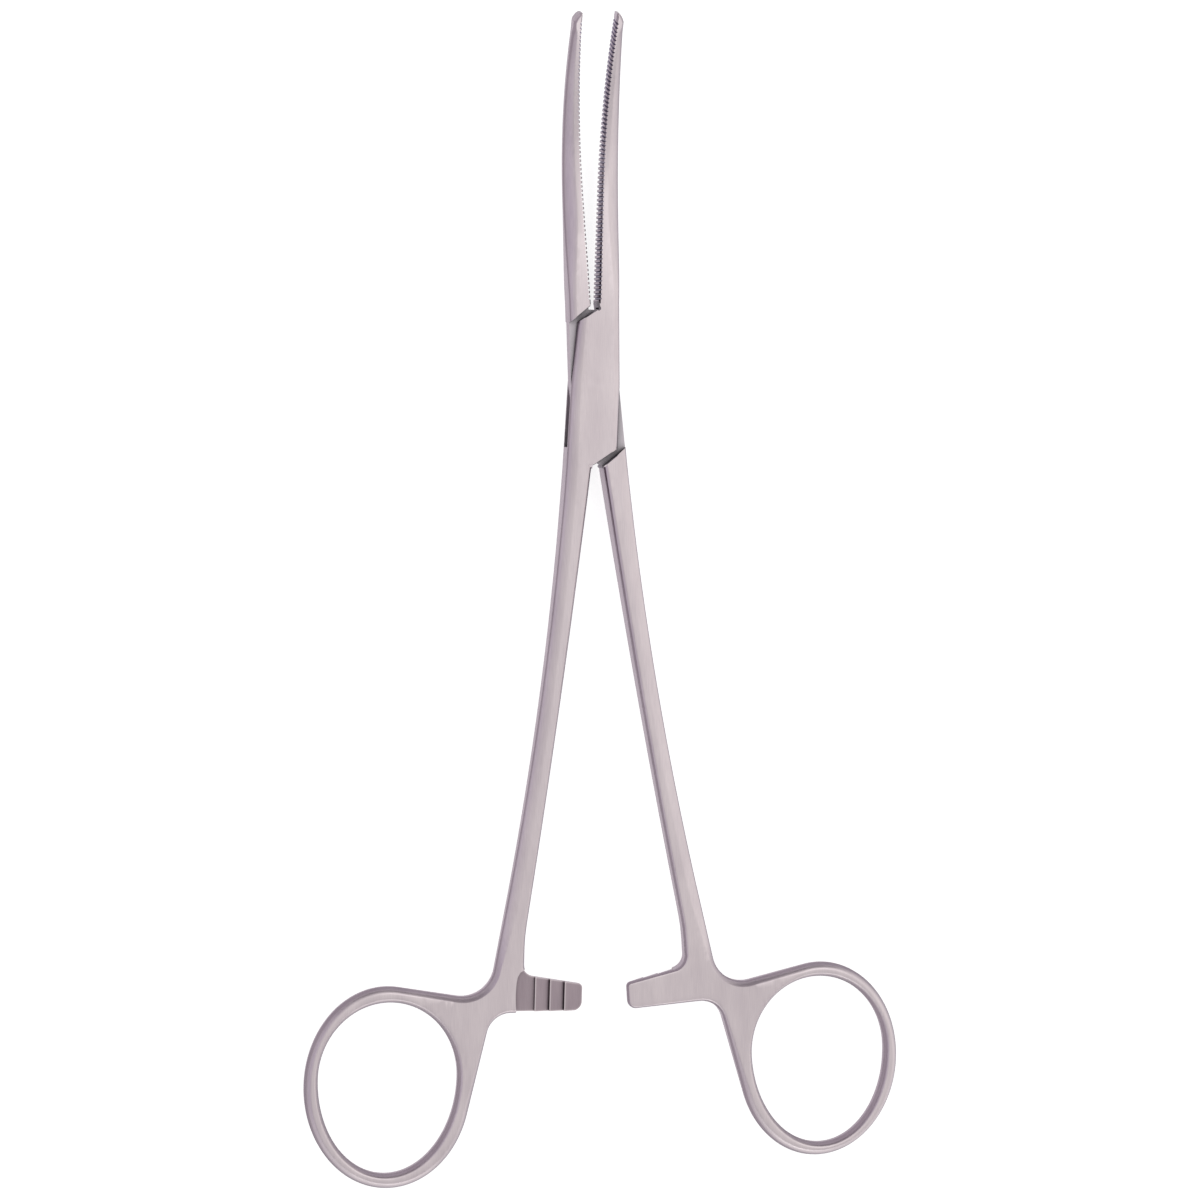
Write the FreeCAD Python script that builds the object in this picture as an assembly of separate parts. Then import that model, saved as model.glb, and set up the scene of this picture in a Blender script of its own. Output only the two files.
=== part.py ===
"""Curved box-lock artery clamp: two forged halves turning on a hidden pin.

Units are millimetres. While the halves are built the clamp is closed: the jaws point
along +Y and meet on the plane X = 0, the pin's axis is the Z axis, and Z = 0 is the
middle of the thickness. A half is drawn with its jaw on the +X side and its shank on
the -X side. The tongue half is the mirror image of that outline. At the end each half
turns about the pin to the open position and the clamp is lifted, so that the rear face
of the lock lies on Z = 0.
"""
import FreeCAD, Part
import math
import os
from FreeCAD import Matrix, Vector

# Opening at rest and overall thicknesses
OPENING_PER_HALF_DEG = 2.7
LOCK_THICKNESS = 5.0
RING_THICKNESS = 3.2

# Box lock
LOCK_WIDTH_AT_JAWS = 7.3
LOCK_WIDTH_AT_SHANKS = 9.3
LOCK_END_LAND = 0.85
PLATE_CORNER_FROM_PIN = 10.25
PLATE_CORNER_INSET = 0.45
PLATE_END_ANGLE_DEG = 35.0
CROTCH_RELIEF_RADIUS = 0.6
TONGUE_THICKNESS = 2.3
TONGUE_FACE_CLEARANCE = 0.05
SHOULDER_GAP = 0.5
SLOT_END_GAP = 0.3
LOCK_EDGE_WIDTH = 1.9
LOCK_EDGE_DEPTH = 0.75
PIN_DIAMETER = 3.2
PIN_RUNNING_CLEARANCE = 0.03

# Jaws
JAW_LENGTH = 49.1
JAW_FACE_OFFSET = 0.05
JAW_MIDDLE_WIDTH = 2.95
JAW_TIP_WIDTH = 1.45
JAW_MIDDLE_THICKNESS = 3.7
JAW_TIP_THICKNESS = 2.9
JAW_STRAIGHT_LENGTH = 18.0
JAW_BEND_RADIUS = 55.0
JAW_BACK_ROUND_WIDTH_SHARE = 0.55
JAW_BACK_ROUND_DEPTH_SHARE = 0.42
JAW_INNER_EDGE = 0.18
TIP_ROUNDING_LENGTH = 1.5
TIP_ROUNDING_WIDTH = 1.1
TOOTH_PITCH = 0.74
TOOTH_DEPTH = 0.3
TOOTH_LAND = 0.08

# Shanks
SHANK_LENGTH = 76.0
SHANK_GAP_AT_LOCK = 0.85
SHANK_MIDDLE_FROM_CENTRE = 4.3
SHANK_END_FROM_CENTRE = 8.95
SHANK_MIDDLE_WIDTH = 3.3
SHANK_END_WIDTH = 3.95
SHANK_MIDDLE_THICKNESS = 3.85
SHANK_INNER_EDGE = 0.25
WEB_EDGE_RADIUS = 1.0

# Finger rings and the web that joins them to the shanks
RING_SIDE_OF_SHANK = 19.55
RING_BELOW_SHANK = 28.2
RING_HOLE_WIDTH = 23.96
RING_HOLE_UPPER_LENGTH = 13.0
RING_HOLE_LOWER_LENGTH = 16.4
RING_BAND_SIDE = 2.3
RING_BAND_UPPER = 2.7
RING_BAND_LOWER = 2.5
RING_LEAN_DEG = 4.0
NECK_LEAVES_RING_DEG = 101.0
WEB_LEAVES_RING_DEG = 199.0
WEB_INNER_BEND_RADIUS = 30.0
WEB_FOOT_FROM_CENTRE = 9.5
NECK_RADIUS = 5.5
WEB_RADIUS = 4.2

# Ratchet arms
ARM_BELOW_SHANK = 10.9
ARM_FALL = 1.75
ARM_TIP_WIDTH = 4.55
ARM_REACH = 1.15
ARM_ROOT_RADIUS = 1.8
ARM_UPPER_CORNER_RADIUS = 0.5
ARM_LOWER_CORNER_RADIUS = 1.3
ARM_EDGE_RADIUS = 0.35
RATCHET_TEETH = 3
RATCHET_PITCH = 2.6
RATCHET_FIRST_CREST = 3.2
RATCHET_TOOTH_DEPTH = 0.5
RATCHET_ROOT_LAND = 3.45
RATCHET_RELIEF = 0.04

# Weight of the middle pole that makes a curve of three poles a quarter of an ellipse
QUARTER_WEIGHT = math.sqrt(0.5)
# Longer than any piece, for blocks that cut right through
FAR = 200.0
# Two levels closer than this are the same
SAME = 1e-6
# Sections that carry the smooth lofts of a jaw's bend and of a shank
BEND_SECTIONS = 4
SHANK_SECTIONS = 7

# Levels along the clamp that follow from the sizes above
PLATE_SLOPE = math.tan(math.radians(PLATE_END_ANGLE_DEG))
LOCK_MEAN_HALF_WIDTH = (LOCK_WIDTH_AT_JAWS + LOCK_WIDTH_AT_SHANKS) / 4
LOCK_END_Y = PLATE_CORNER_FROM_PIN + LOCK_MEAN_HALF_WIDTH * PLATE_SLOPE + LOCK_END_LAND
SHANK_END_Y = -LOCK_END_Y - SHANK_LENGTH
SHANK_MIDDLE_Y = -LOCK_END_Y - SHANK_LENGTH / 2
SHANK_END_OUTER = SHANK_END_FROM_CENTRE + SHANK_END_WIDTH
ARM_ROOT_TOP_Y = SHANK_END_Y - ARM_BELOW_SHANK
ARM_TIP_TOP_Y = ARM_ROOT_TOP_Y - ARM_FALL
ARM_BOTTOM_Y = ARM_TIP_TOP_Y - ARM_TIP_WIDTH

# Outer ellipse of a finger ring, and the middle of the ring's hole
RING_X = SHANK_END_OUTER + RING_SIDE_OF_SHANK
RING_HOLE_Y = SHANK_END_Y - RING_BELOW_SHANK
RING_TOP = RING_HOLE_UPPER_LENGTH + RING_BAND_UPPER
RING_BOTTOM = RING_HOLE_LOWER_LENGTH + RING_BAND_LOWER
RING_HALF_LENGTH = (RING_TOP + RING_BOTTOM) / 2
RING_HALF_WIDTH = RING_HOLE_WIDTH / 2 + RING_BAND_SIDE
RING_CENTRE = Vector(RING_X, RING_HOLE_Y + (RING_TOP - RING_BOTTOM) / 2, 0)

# Rounding of the long edges of ring and web, which leaves a flat strip on the ring's band
LARGEST_ROUND_SHARE = 0.45
WEB_ROUNDING = min(WEB_EDGE_RADIUS, LARGEST_ROUND_SHARE * min(RING_BAND_SIDE, RING_THICKNESS))


def mirrored(shape):
    """Give the mirror image of a solid in the plane X = 0."""
    return shape.mirror(Vector(0, 0, 0), Vector(1, 0, 0))


def through(start, middle, end, at):
    """Value at a station of the parabola through three (station, value) pairs."""
    (s0, v0), (s1, v1), (s2, v2) = start, middle, end
    share0 = (at - s1) * (at - s2) / ((s0 - s1) * (s0 - s2))
    share1 = (at - s0) * (at - s2) / ((s1 - s0) * (s1 - s2))
    share2 = (at - s0) * (at - s1) / ((s2 - s0) * (s2 - s1))
    return v0 * share0 + v1 * share1 + v2 * share2


def grown_value(start, end, grown):
    """Value that has grown from start towards end by a share."""
    return start + (end - start) * grown


def lock_half_width(y):
    """Half the lock's width at height y: it tapers evenly towards the jaws."""
    share = (y + LOCK_END_Y) / (2 * LOCK_END_Y)
    return grown_value(LOCK_WIDTH_AT_SHANKS, LOCK_WIDTH_AT_JAWS, share) / 2


def quarter(start, turn, end):
    """Quarter of an ellipse from start to end, within the corner at turn."""
    curve = Part.BezierCurve()
    curve.setPoles([start, turn, end])
    curve.setWeight(2, QUARTER_WEIGHT)
    return curve.toShape()


def section(place, inner, outer, thickness, inner_edge, outer_edge):
    """Closed section of a jaw, shank or lock.

    place turns (across, up) into a point. inner_edge and outer_edge are the width and
    depth of the rounding along the two long edges, the same on front and rear.
    """
    half = thickness / 2
    inner_width, inner_depth = inner_edge
    outer_width, outer_depth = outer_edge

    def corner(x, z, x_turn, z_turn, x_end, z_end):
        """Rounding from (x, z) to (x_end, z_end) by way of its corner."""
        return quarter(place(x, z), place(x_turn, z_turn), place(x_end, z_end))

    def straight(x0, z0, x1, z1):
        """Straight edge between two points of the section."""
        return Part.LineSegment(place(x0, z0), place(x1, z1)).toShape()

    edges = [
        straight(inner + inner_width, -half, outer - outer_width, -half),
        corner(outer - outer_width, -half, outer, -half, outer, -half + outer_depth),
        straight(outer, -half + outer_depth, outer, half - outer_depth),
        corner(outer, half - outer_depth, outer, half, outer - outer_width, half),
        straight(outer - outer_width, half, inner + inner_width, half),
        corner(inner + inner_width, half, inner, half, inner, half - inner_depth),
        straight(inner, half - inner_depth, inner, -half + inner_depth),
        corner(inner, -half + inner_depth, inner, -half, inner + inner_width, -half),
    ]
    return Part.Wire(edges)


def flat_section(y, *sizes):
    """Section of the lock or a shank, in the plane across the clamp at height y."""
    return section(lambda x, z: Vector(x, y, z), *sizes)


def jaw_frame(station):
    """Point of the jaw's middle line, its direction and its front direction."""
    bend = max(0.0, station - JAW_STRAIGHT_LENGTH) / JAW_BEND_RADIUS
    straight = min(station, JAW_STRAIGHT_LENGTH)
    y = LOCK_END_Y + straight + JAW_BEND_RADIUS * math.sin(bend)
    z = JAW_BEND_RADIUS * (1 - math.cos(bend))
    along = Vector(0, math.cos(bend), math.sin(bend))
    front = Vector(0, -math.sin(bend), math.cos(bend))
    return Vector(0, y, z), along, front


def jaw_width(station):
    """Distance from the middle plane to the jaw's back at a station."""
    root = (0.0, LOCK_WIDTH_AT_JAWS / 2)
    middle = (JAW_LENGTH / 2, JAW_MIDDLE_WIDTH)
    return through(root, middle, (JAW_LENGTH, JAW_TIP_WIDTH), station)


def jaw_thickness(station):
    """Thickness of the jaw at a station."""
    root = (0.0, LOCK_THICKNESS)
    middle = (JAW_LENGTH / 2, JAW_MIDDLE_THICKNESS)
    return through(root, middle, (JAW_LENGTH, JAW_TIP_THICKNESS), station)


def jaw_section(station):
    """Section of the jaw: a flat gripping face and a back that gets rounder."""
    centre, _, front = jaw_frame(station)
    width = jaw_width(station)
    thickness = jaw_thickness(station)
    grown = min(1.0, station / JAW_STRAIGHT_LENGTH)
    round_width = width * JAW_BACK_ROUND_WIDTH_SHARE
    round_depth = thickness * JAW_BACK_ROUND_DEPTH_SHARE
    edge_width = grown_value(LOCK_EDGE_WIDTH, round_width, grown)
    edge_depth = grown_value(LOCK_EDGE_DEPTH, round_depth, grown)

    def place(x, z):
        """Point of the section from its distance across and its height."""
        return centre + Vector(x, 0, 0) + front * z

    inner_edge = (JAW_INNER_EDGE, JAW_INNER_EDGE)
    return section(
        place, JAW_FACE_OFFSET, width, thickness, inner_edge, (edge_width, edge_depth)
    )


def jaw_groove(station):
    """Wedge that cuts one groove across the gripping face."""
    centre, along, front = jaw_frame(station)
    spread = along * (TOOTH_PITCH - TOOTH_LAND)
    bottom = Vector(JAW_FACE_OFFSET + TOOTH_DEPTH, 0, 0)
    outside = Vector(JAW_FACE_OFFSET - TOOTH_DEPTH, 0, 0)
    corners = [bottom, outside + spread, outside - spread]
    points = [centre + corner - front * LOCK_THICKNESS for corner in corners]
    face = Part.Face(Part.makePolygon(points + [points[0]]))
    return face.extrude(front * (2 * LOCK_THICKNESS))


def tip_cutter():
    """Block that rounds off the back corner of the jaw's end."""
    centre, along, front = jaw_frame(JAW_LENGTH)
    outer = jaw_width(JAW_LENGTH)
    side = outer - TIP_ROUNDING_WIDTH

    def place(x, forward):
        """Point from its distance across and its distance past the jaw's end."""
        return centre + Vector(x, 0, 0) + along * forward - front * LOCK_THICKNESS

    curve = quarter(place(outer, -TIP_ROUNDING_LENGTH), place(outer, 0), place(side, 0))
    beyond = TIP_ROUNDING_LENGTH
    rest = Part.makePolygon([
        place(side, 0),
        place(side, beyond),
        place(outer + beyond, beyond),
        place(outer + beyond, -TIP_ROUNDING_LENGTH),
        place(outer, -TIP_ROUNDING_LENGTH),
    ])
    wire = Part.Wire([curve] + rest.Edges)
    return Part.Face(wire).extrude(front * (2 * LOCK_THICKNESS))


def jaw():
    """Curved jaw with its cross serrations, on the +X side."""
    bend_step = (JAW_LENGTH - JAW_STRAIGHT_LENGTH) / BEND_SECTIONS
    stations = [0.0, JAW_STRAIGHT_LENGTH / 2]
    stations += [JAW_STRAIGHT_LENGTH + bend_step * number for number in range(BEND_SECTIONS + 1)]
    body = Part.makeLoft([jaw_section(station) for station in stations], True)
    count = int((JAW_LENGTH - TOOTH_PITCH) / TOOTH_PITCH)
    grooves = [jaw_groove((number + 1) * TOOTH_PITCH) for number in range(count)]
    return body.cut([tip_cutter()] + grooves)


def slab(points, low, high):
    """Upright block over a polygon given as (x, y) points."""
    corners = [Vector(x, y, low) for x, y in points]
    return Part.Face(Part.makePolygon(corners + [corners[0]])).extrude(
        Vector(0, 0, high - low)
    )


def plate_end_distance(y):
    """Distance from the pin's axis to the slanted end line of a lock plate."""
    slant = math.radians(PLATE_END_ANGLE_DEG)
    return lock_half_width(y) * math.sin(slant) + abs(y) * math.cos(slant)


def lock_strip(gap, low, high):
    """Block between the two slanted ends of the lock's space, gap beyond the plates."""
    slant = math.radians(PLATE_END_ANGLE_DEG)
    normal = Vector(math.sin(slant), math.cos(slant), 0)
    side = Vector(math.cos(slant), -math.sin(slant), 0)
    upper = normal * (plate_end_distance(PLATE_CORNER_FROM_PIN) + gap)
    lower = normal * -(plate_end_distance(-PLATE_CORNER_FROM_PIN) + gap)
    corners = [upper + side * FAR, upper - side * FAR, lower - side * FAR, lower + side * FAR]
    return slab([(corner.x, corner.y) for corner in corners], low, high)


def shank_inner(y):
    """Distance of the shank's inner edge from the middle plane."""
    lock_end = (-LOCK_END_Y, SHANK_GAP_AT_LOCK / 2)
    middle = (SHANK_MIDDLE_Y, SHANK_MIDDLE_FROM_CENTRE)
    return through(lock_end, middle, (SHANK_END_Y, SHANK_END_FROM_CENTRE), y)


def shank_outer(y):
    """Distance of the shank's outer edge from the middle plane."""
    lock_end = (-LOCK_END_Y, LOCK_WIDTH_AT_SHANKS / 2)
    middle = (SHANK_MIDDLE_Y, SHANK_MIDDLE_FROM_CENTRE + SHANK_MIDDLE_WIDTH)
    return through(lock_end, middle, (SHANK_END_Y, SHANK_END_OUTER), y)


def upright_bore(radius, y):
    """Cylinder on the middle plane at height y, longer than the lock is thick."""
    return Part.makeCylinder(radius, 2 * LOCK_THICKNESS, Vector(0, y, -LOCK_THICKNESS))


def lock_envelope():
    """Lock part of one half at full thickness: a plate slanted off at both ends."""
    edge = (LOCK_EDGE_WIDTH, LOCK_EDGE_DEPTH)
    inset = PLATE_CORNER_INSET * LOCK_END_Y / PLATE_CORNER_FROM_PIN
    sections = []
    for y, left_inset, right_inset in ((-LOCK_END_Y, 0, inset), (0, 0, 0), (LOCK_END_Y, inset, 0)):
        width = lock_half_width(y)
        left, right = left_inset - width, width - right_inset
        sections.append(flat_section(y, left, right, LOCK_THICKNESS, edge, edge))
    block = Part.makeLoft(sections, True, True)
    reach = LOCK_THICKNESS
    upper_rise = (lock_half_width(PLATE_CORNER_FROM_PIN) + JAW_FACE_OFFSET) * PLATE_SLOPE
    upper_y = PLATE_CORNER_FROM_PIN + upper_rise
    over_jaw = slab([
        (JAW_FACE_OFFSET, upper_y),
        (JAW_FACE_OFFSET, FAR),
        (-FAR, FAR),
        (-FAR, upper_y - (FAR + JAW_FACE_OFFSET) * PLATE_SLOPE),
    ], -reach, reach)
    inner_x = -SHANK_GAP_AT_LOCK / 2
    lower_rise = (lock_half_width(-PLATE_CORNER_FROM_PIN) - inner_x) * PLATE_SLOPE
    lower_y = -PLATE_CORNER_FROM_PIN - lower_rise
    under_shank = slab([
        (inner_x, lower_y),
        (inner_x, -FAR),
        (FAR, -FAR),
        (FAR, lower_y + (FAR - inner_x) * PLATE_SLOPE),
    ], -reach, reach)
    reliefs = [
        upright_bore(CROTCH_RELIEF_RADIUS, upper_y),
        upright_bore(CROTCH_RELIEF_RADIUS, lower_y),
    ]
    return block.cut([over_jaw, under_shank] + reliefs)


def box_lock():
    """Lock of the box half: front and rear plates with the slot between them."""
    half_slot = TONGUE_THICKNESS / 2 + TONGUE_FACE_CLEARANCE
    slot = lock_strip(SLOT_END_GAP, -half_slot, half_slot)
    return lock_envelope().cut([slot, upright_bore(PIN_DIAMETER / 2, 0)])


def tongue_lock():
    """Lock of the tongue half: a thin tongue between two full-thickness shoulders."""
    half = TONGUE_THICKNESS / 2
    front = lock_strip(SHOULDER_GAP, half, LOCK_THICKNESS)
    rear = lock_strip(SHOULDER_GAP, -LOCK_THICKNESS, -half)
    bore = upright_bore(PIN_DIAMETER / 2 + PIN_RUNNING_CLEARANCE, 0)
    return lock_envelope().cut([front, rear, bore])


def end_way(edge):
    """Direction in which an edge of the shank runs on into the web."""
    above = SHANK_END_Y + RING_THICKNESS
    return Vector(edge(SHANK_END_Y), SHANK_END_Y, 0) - Vector(edge(above), above, 0)


def web_rounding_across(edge):
    """Width that the web's rounding has where the shank's end cuts it at a slant."""
    way = end_way(edge)
    return WEB_ROUNDING * way.Length / abs(way.y)


def shank():
    """Tapering shank from the lock to the web, on the +X side."""
    sections = []
    for number in range(SHANK_SECTIONS):
        grown = number / (SHANK_SECTIONS - 1)
        y = -LOCK_END_Y - SHANK_LENGTH * grown
        thickness = through(
            (-LOCK_END_Y, LOCK_THICKNESS),
            (SHANK_MIDDLE_Y, SHANK_MIDDLE_THICKNESS),
            (SHANK_END_Y, RING_THICKNESS),
            y,
        )
        inner_edge = (
            grown_value(SHANK_INNER_EDGE, web_rounding_across(shank_inner), grown),
            grown_value(SHANK_INNER_EDGE, WEB_ROUNDING, grown),
        )
        outer_edge = (
            grown_value(LOCK_EDGE_WIDTH, web_rounding_across(shank_outer), grown),
            grown_value(LOCK_EDGE_DEPTH, WEB_ROUNDING, grown),
        )
        sizes = (shank_inner(y), shank_outer(y), thickness, inner_edge, outer_edge)
        sections.append(flat_section(y, *sizes))
    return Part.makeLoft(sections, True)


def crossing(point_a, way_a, point_b, way_b):
    """Point where two straight lines in the plane of the clamp meet."""
    across = way_a.x * way_b.y - way_a.y * way_b.x
    between = point_b - point_a
    share = (between.x * way_b.y - between.y * way_b.x) / across
    return point_a + way_a * share


def rounded_corner(before, corner, after, radius):
    """Ends and middle of the arc that rounds off a corner."""
    to_before = (before - corner).normalize()
    to_after = (after - corner).normalize()
    half_angle = to_before.getAngle(to_after) / 2
    start = corner + to_before * (radius / math.tan(half_angle))
    end = corner + to_after * (radius / math.tan(half_angle))
    bisector = (to_before + to_after).normalize()
    middle = corner + bisector * (radius / math.sin(half_angle) - radius)
    return start, middle, end


def rounded_path(points, radii):
    """Straight edges through the points, with an arc at each inner point."""
    edges = []
    last = points[0]
    for index, radius in enumerate(radii):
        before, corner, after = points[index:index + 3]
        start, middle, end = rounded_corner(before, corner, after, radius)
        edges.append(Part.LineSegment(last, start).toShape())
        edges.append(Part.Arc(start, middle, end).toShape())
        last = end
    edges.append(Part.LineSegment(last, points[-1]).toShape())
    return edges


def leaned(across, up):
    """Turn a direction by the lean of the ring's outer ellipse."""
    lean = math.radians(RING_LEAN_DEG)
    x = across * math.cos(lean) + up * math.sin(lean)
    y = up * math.cos(lean) - across * math.sin(lean)
    return Vector(x, y, 0)


def ring_point(angle_deg):
    """Point on the ring's outer ellipse and the direction of the ellipse there."""
    angle = math.radians(angle_deg)
    cos, sin = math.cos(angle), math.sin(angle)
    point = RING_CENTRE + leaned(RING_HALF_WIDTH * cos, RING_HALF_LENGTH * sin)
    return point, leaned(-RING_HALF_WIDTH * sin, RING_HALF_LENGTH * cos)


def ring_outside(start, end):
    """Outer ellipse of the ring, counter-clockwise from one point to another."""
    top = RING_CENTRE + leaned(0, RING_HALF_LENGTH)
    left = RING_CENTRE + leaned(-RING_HALF_WIDTH, 0)
    ellipse = Part.Ellipse(top, left, RING_CENTRE)
    arc = Part.ArcOfEllipse(ellipse, ellipse.parameter(start), ellipse.parameter(end))
    return arc.toShape()


def ring_hole():
    """Egg-shaped hole: a short half ellipse above and a long one below."""
    half_width = RING_HOLE_WIDTH / 2
    centre = Vector(RING_X, RING_HOLE_Y, 0)
    edges = []
    for length, start in ((RING_HOLE_UPPER_LENGTH, -90), (RING_HOLE_LOWER_LENGTH, 90)):
        top = centre + Vector(0, length, 0)
        left = centre - Vector(half_width, 0, 0)
        ellipse = Part.Ellipse(top, left, centre)
        low, high = math.radians(start), math.radians(start + 180)
        edges.append(Part.ArcOfEllipse(ellipse, low, high).toShape())
    return Part.Wire(edges)


def arm_top(x):
    """Height of the ratchet arm's upper edge at a distance from the middle plane."""
    slope = ARM_FALL / (WEB_FOOT_FROM_CENTRE + ARM_REACH)
    return ARM_TIP_TOP_Y + slope * (x + ARM_REACH)


def ring_and_web():
    """Finger ring and the flat web that joins it to the shank and the ratchet arm."""
    neck_point, neck_way = ring_point(NECK_LEAVES_RING_DEG)
    web_point, web_way = ring_point(WEB_LEAVES_RING_DEG)
    outer_start = Vector(SHANK_END_OUTER, SHANK_END_Y, 0)
    inner_start = Vector(SHANK_END_FROM_CENTRE, SHANK_END_Y, 0)
    stub_x = WEB_FOOT_FROM_CENTRE - ARM_ROOT_RADIUS
    neck_corner = crossing(outer_start, end_way(shank_outer), neck_point, neck_way)
    web_corner = crossing(web_point, web_way, Vector(0, ARM_BOTTOM_Y, 0), Vector(1, 0, 0))
    foot = Vector(WEB_FOOT_FROM_CENTRE, arm_top(WEB_FOOT_FROM_CENTRE), 0)
    inner_bend = crossing(inner_start, end_way(shank_inner), foot, Vector(0, 1, 0))
    stub_low = Vector(stub_x, ARM_BOTTOM_Y, 0)
    stub_high = Vector(stub_x, arm_top(stub_x), 0)
    edges = rounded_path([outer_start, neck_corner, neck_point], [NECK_RADIUS])
    edges.append(ring_outside(web_point, neck_point))
    edges += rounded_path([web_point, web_corner, stub_low], [WEB_RADIUS])
    edges.append(Part.LineSegment(stub_low, stub_high).toShape())
    inner_radii = [ARM_ROOT_RADIUS, WEB_INNER_BEND_RADIUS]
    edges += rounded_path([stub_high, foot, inner_bend, inner_start], inner_radii)
    edges.append(Part.LineSegment(inner_start, outer_start).toShape())
    outline = Part.Wire(Part.sortEdges(edges)[0])
    plate = Part.Face([outline, ring_hole()]).extrude(Vector(0, 0, RING_THICKNESS))
    plate.translate(Vector(0, 0, -RING_THICKNESS / 2))
    return plate.makeFillet(WEB_ROUNDING, long_edges(plate, stub_x))


def long_edges(plate, stub_x):
    """Front and rear edges of the plate, apart from its two cut ends."""
    chosen = []
    for edge in plate.Edges:
        box = edge.BoundBox
        upright = box.ZLength > RING_THICKNESS / 2
        at_shank = abs(box.YMin - SHANK_END_Y) < SAME
        at_arm = abs(box.XMax - stub_x) < SAME
        if not (upright or at_shank or at_arm):
            chosen.append(edge)
    return chosen


def ratchet_arm():
    """Ratchet arm at full thickness, from inside the web to past the middle plane."""
    root_x = WEB_FOOT_FROM_CENTRE + ARM_ROOT_RADIUS
    tip_low = Vector(-ARM_REACH, ARM_BOTTOM_Y, 0)
    tip_high = Vector(-ARM_REACH, ARM_TIP_TOP_Y, 0)
    root_low = Vector(root_x, ARM_BOTTOM_Y, 0)
    root_high = Vector(root_x, arm_top(root_x), 0)
    radii = [ARM_UPPER_CORNER_RADIUS, ARM_LOWER_CORNER_RADIUS]
    edges = rounded_path([root_high, tip_high, tip_low, root_low], radii)
    edges.append(Part.LineSegment(root_low, root_high).toShape())
    face = Part.Face(Part.Wire(edges))
    arm = face.extrude(Vector(0, 0, RING_THICKNESS))
    arm.translate(Vector(0, 0, -RING_THICKNESS / 2))
    rounded = [
        edge for edge in arm.Edges
        if edge.BoundBox.ZLength < RING_THICKNESS / 2 and edge.BoundBox.XMin < root_x - SAME
    ]
    return arm.makeFillet(ARM_EDGE_RADIUS, rounded)


def ratchet_cutter():
    """Block that takes the front half off an arm and leaves its slanted teeth."""
    floor = -RATCHET_RELIEF - RATCHET_TOOTH_DEPTH
    crest = -RATCHET_RELIEF
    first = RATCHET_FIRST_CREST - ARM_REACH
    lead_in = RATCHET_FIRST_CREST + RATCHET_PITCH
    start_x = first - lead_in
    start_z = crest - lead_in * RATCHET_TOOTH_DEPTH / RATCHET_PITCH
    points = [(start_x, LOCK_THICKNESS), (start_x, start_z)]
    for tooth in range(RATCHET_TEETH):
        crest_x = first + tooth * RATCHET_PITCH
        points.append((crest_x, crest))
        points.append((crest_x, floor))
    end_x = first + (RATCHET_TEETH - 1) * RATCHET_PITCH + RATCHET_ROOT_LAND
    points.append((end_x, floor))
    points.append((end_x, LOCK_THICKNESS))
    low_y = ARM_BOTTOM_Y - ARM_TIP_WIDTH
    corners = [Vector(x, low_y, z) for x, z in points]
    face = Part.Face(Part.makePolygon(corners + [corners[0]]))
    return face.extrude(Vector(0, SHANK_END_Y - low_y, 0))


def handle():
    """Shank, web, ring and full-thickness ratchet arm, on the +X side."""
    return shank().fuse([ring_and_web(), ratchet_arm()])


def rear_arm_handle():
    """Handle whose arm keeps its rear half, with the teeth on its front."""
    return handle().cut(ratchet_cutter())


def front_arm_handle():
    """Handle whose arm keeps its front half, with the teeth on its rear."""
    turned = ratchet_cutter().mirror(Vector(0, 0, 0), Vector(0, 0, 1))
    return handle().cut(turned)


def placed(shape, angle_deg):
    """Turn a half about the pin and lift it so that the lock rests on Z = 0."""
    result = shape.copy()
    result.rotate(Vector(0, 0, 0), Vector(0, 0, 1), angle_deg)
    result.translate(Vector(0, 0, LOCK_THICKNESS / 2))
    return result


def box_half():
    """Half with the slotted lock: left shank and right jaw."""
    half = box_lock().fuse([jaw(), mirrored(rear_arm_handle())])
    return placed(half, -OPENING_PER_HALF_DEG)


def tongue_half():
    """Half with the tongue: right shank and left jaw."""
    half = mirrored(tongue_lock().fuse(jaw())).fuse(front_arm_handle())
    return placed(half, OPENING_PER_HALF_DEG)


def lock_pin():
    """Pin through both plates and the tongue, ground flush with the plates."""
    return Part.makeCylinder(PIN_DIAMETER / 2, LOCK_THICKNESS)


def export(name, shape):
    """Write one piece and report it."""
    solid = shape.Solids[0]
    assert len(shape.Solids) == 1, name
    assert solid.isValid(), name
    solid.exportStep(os.path.join("parts", name + ".step"))
    print(name, "volume", round(solid.Volume, 2), "faces", len(solid.Faces))


def main():
    """Build the pieces and write them to the parts folder."""
    os.makedirs("parts", exist_ok=True)
    export("box_half", box_half())
    export("tongue_half", tongue_half())
    export("lock_pin", lock_pin())


main()
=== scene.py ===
"""Looks of a curved surgical clamp with a box lock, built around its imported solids.

Lengths are in millimetres until a mesh is finished. A half is drawn as the tongue half
stands when the clamp is closed: its shank on the +X side, its jaw on the -X side, the pin on
the Z axis and the middle of the thickness on Z = 0. The box half is the mirror image. Each
half then turns about the pin to its place in the photograph, and the clamp is lifted, so
that the rear face of the lock lies on Z = 0.
"""

import logging
import math
from collections.abc import Callable
from dataclasses import dataclass, field
from enum import Enum
from functools import partial

import bpy
import numpy as np
from mathutils import Matrix, Vector
from mathutils.geometry import delaunay_2d_cdt
from mathutils.kdtree import KDTree


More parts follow.
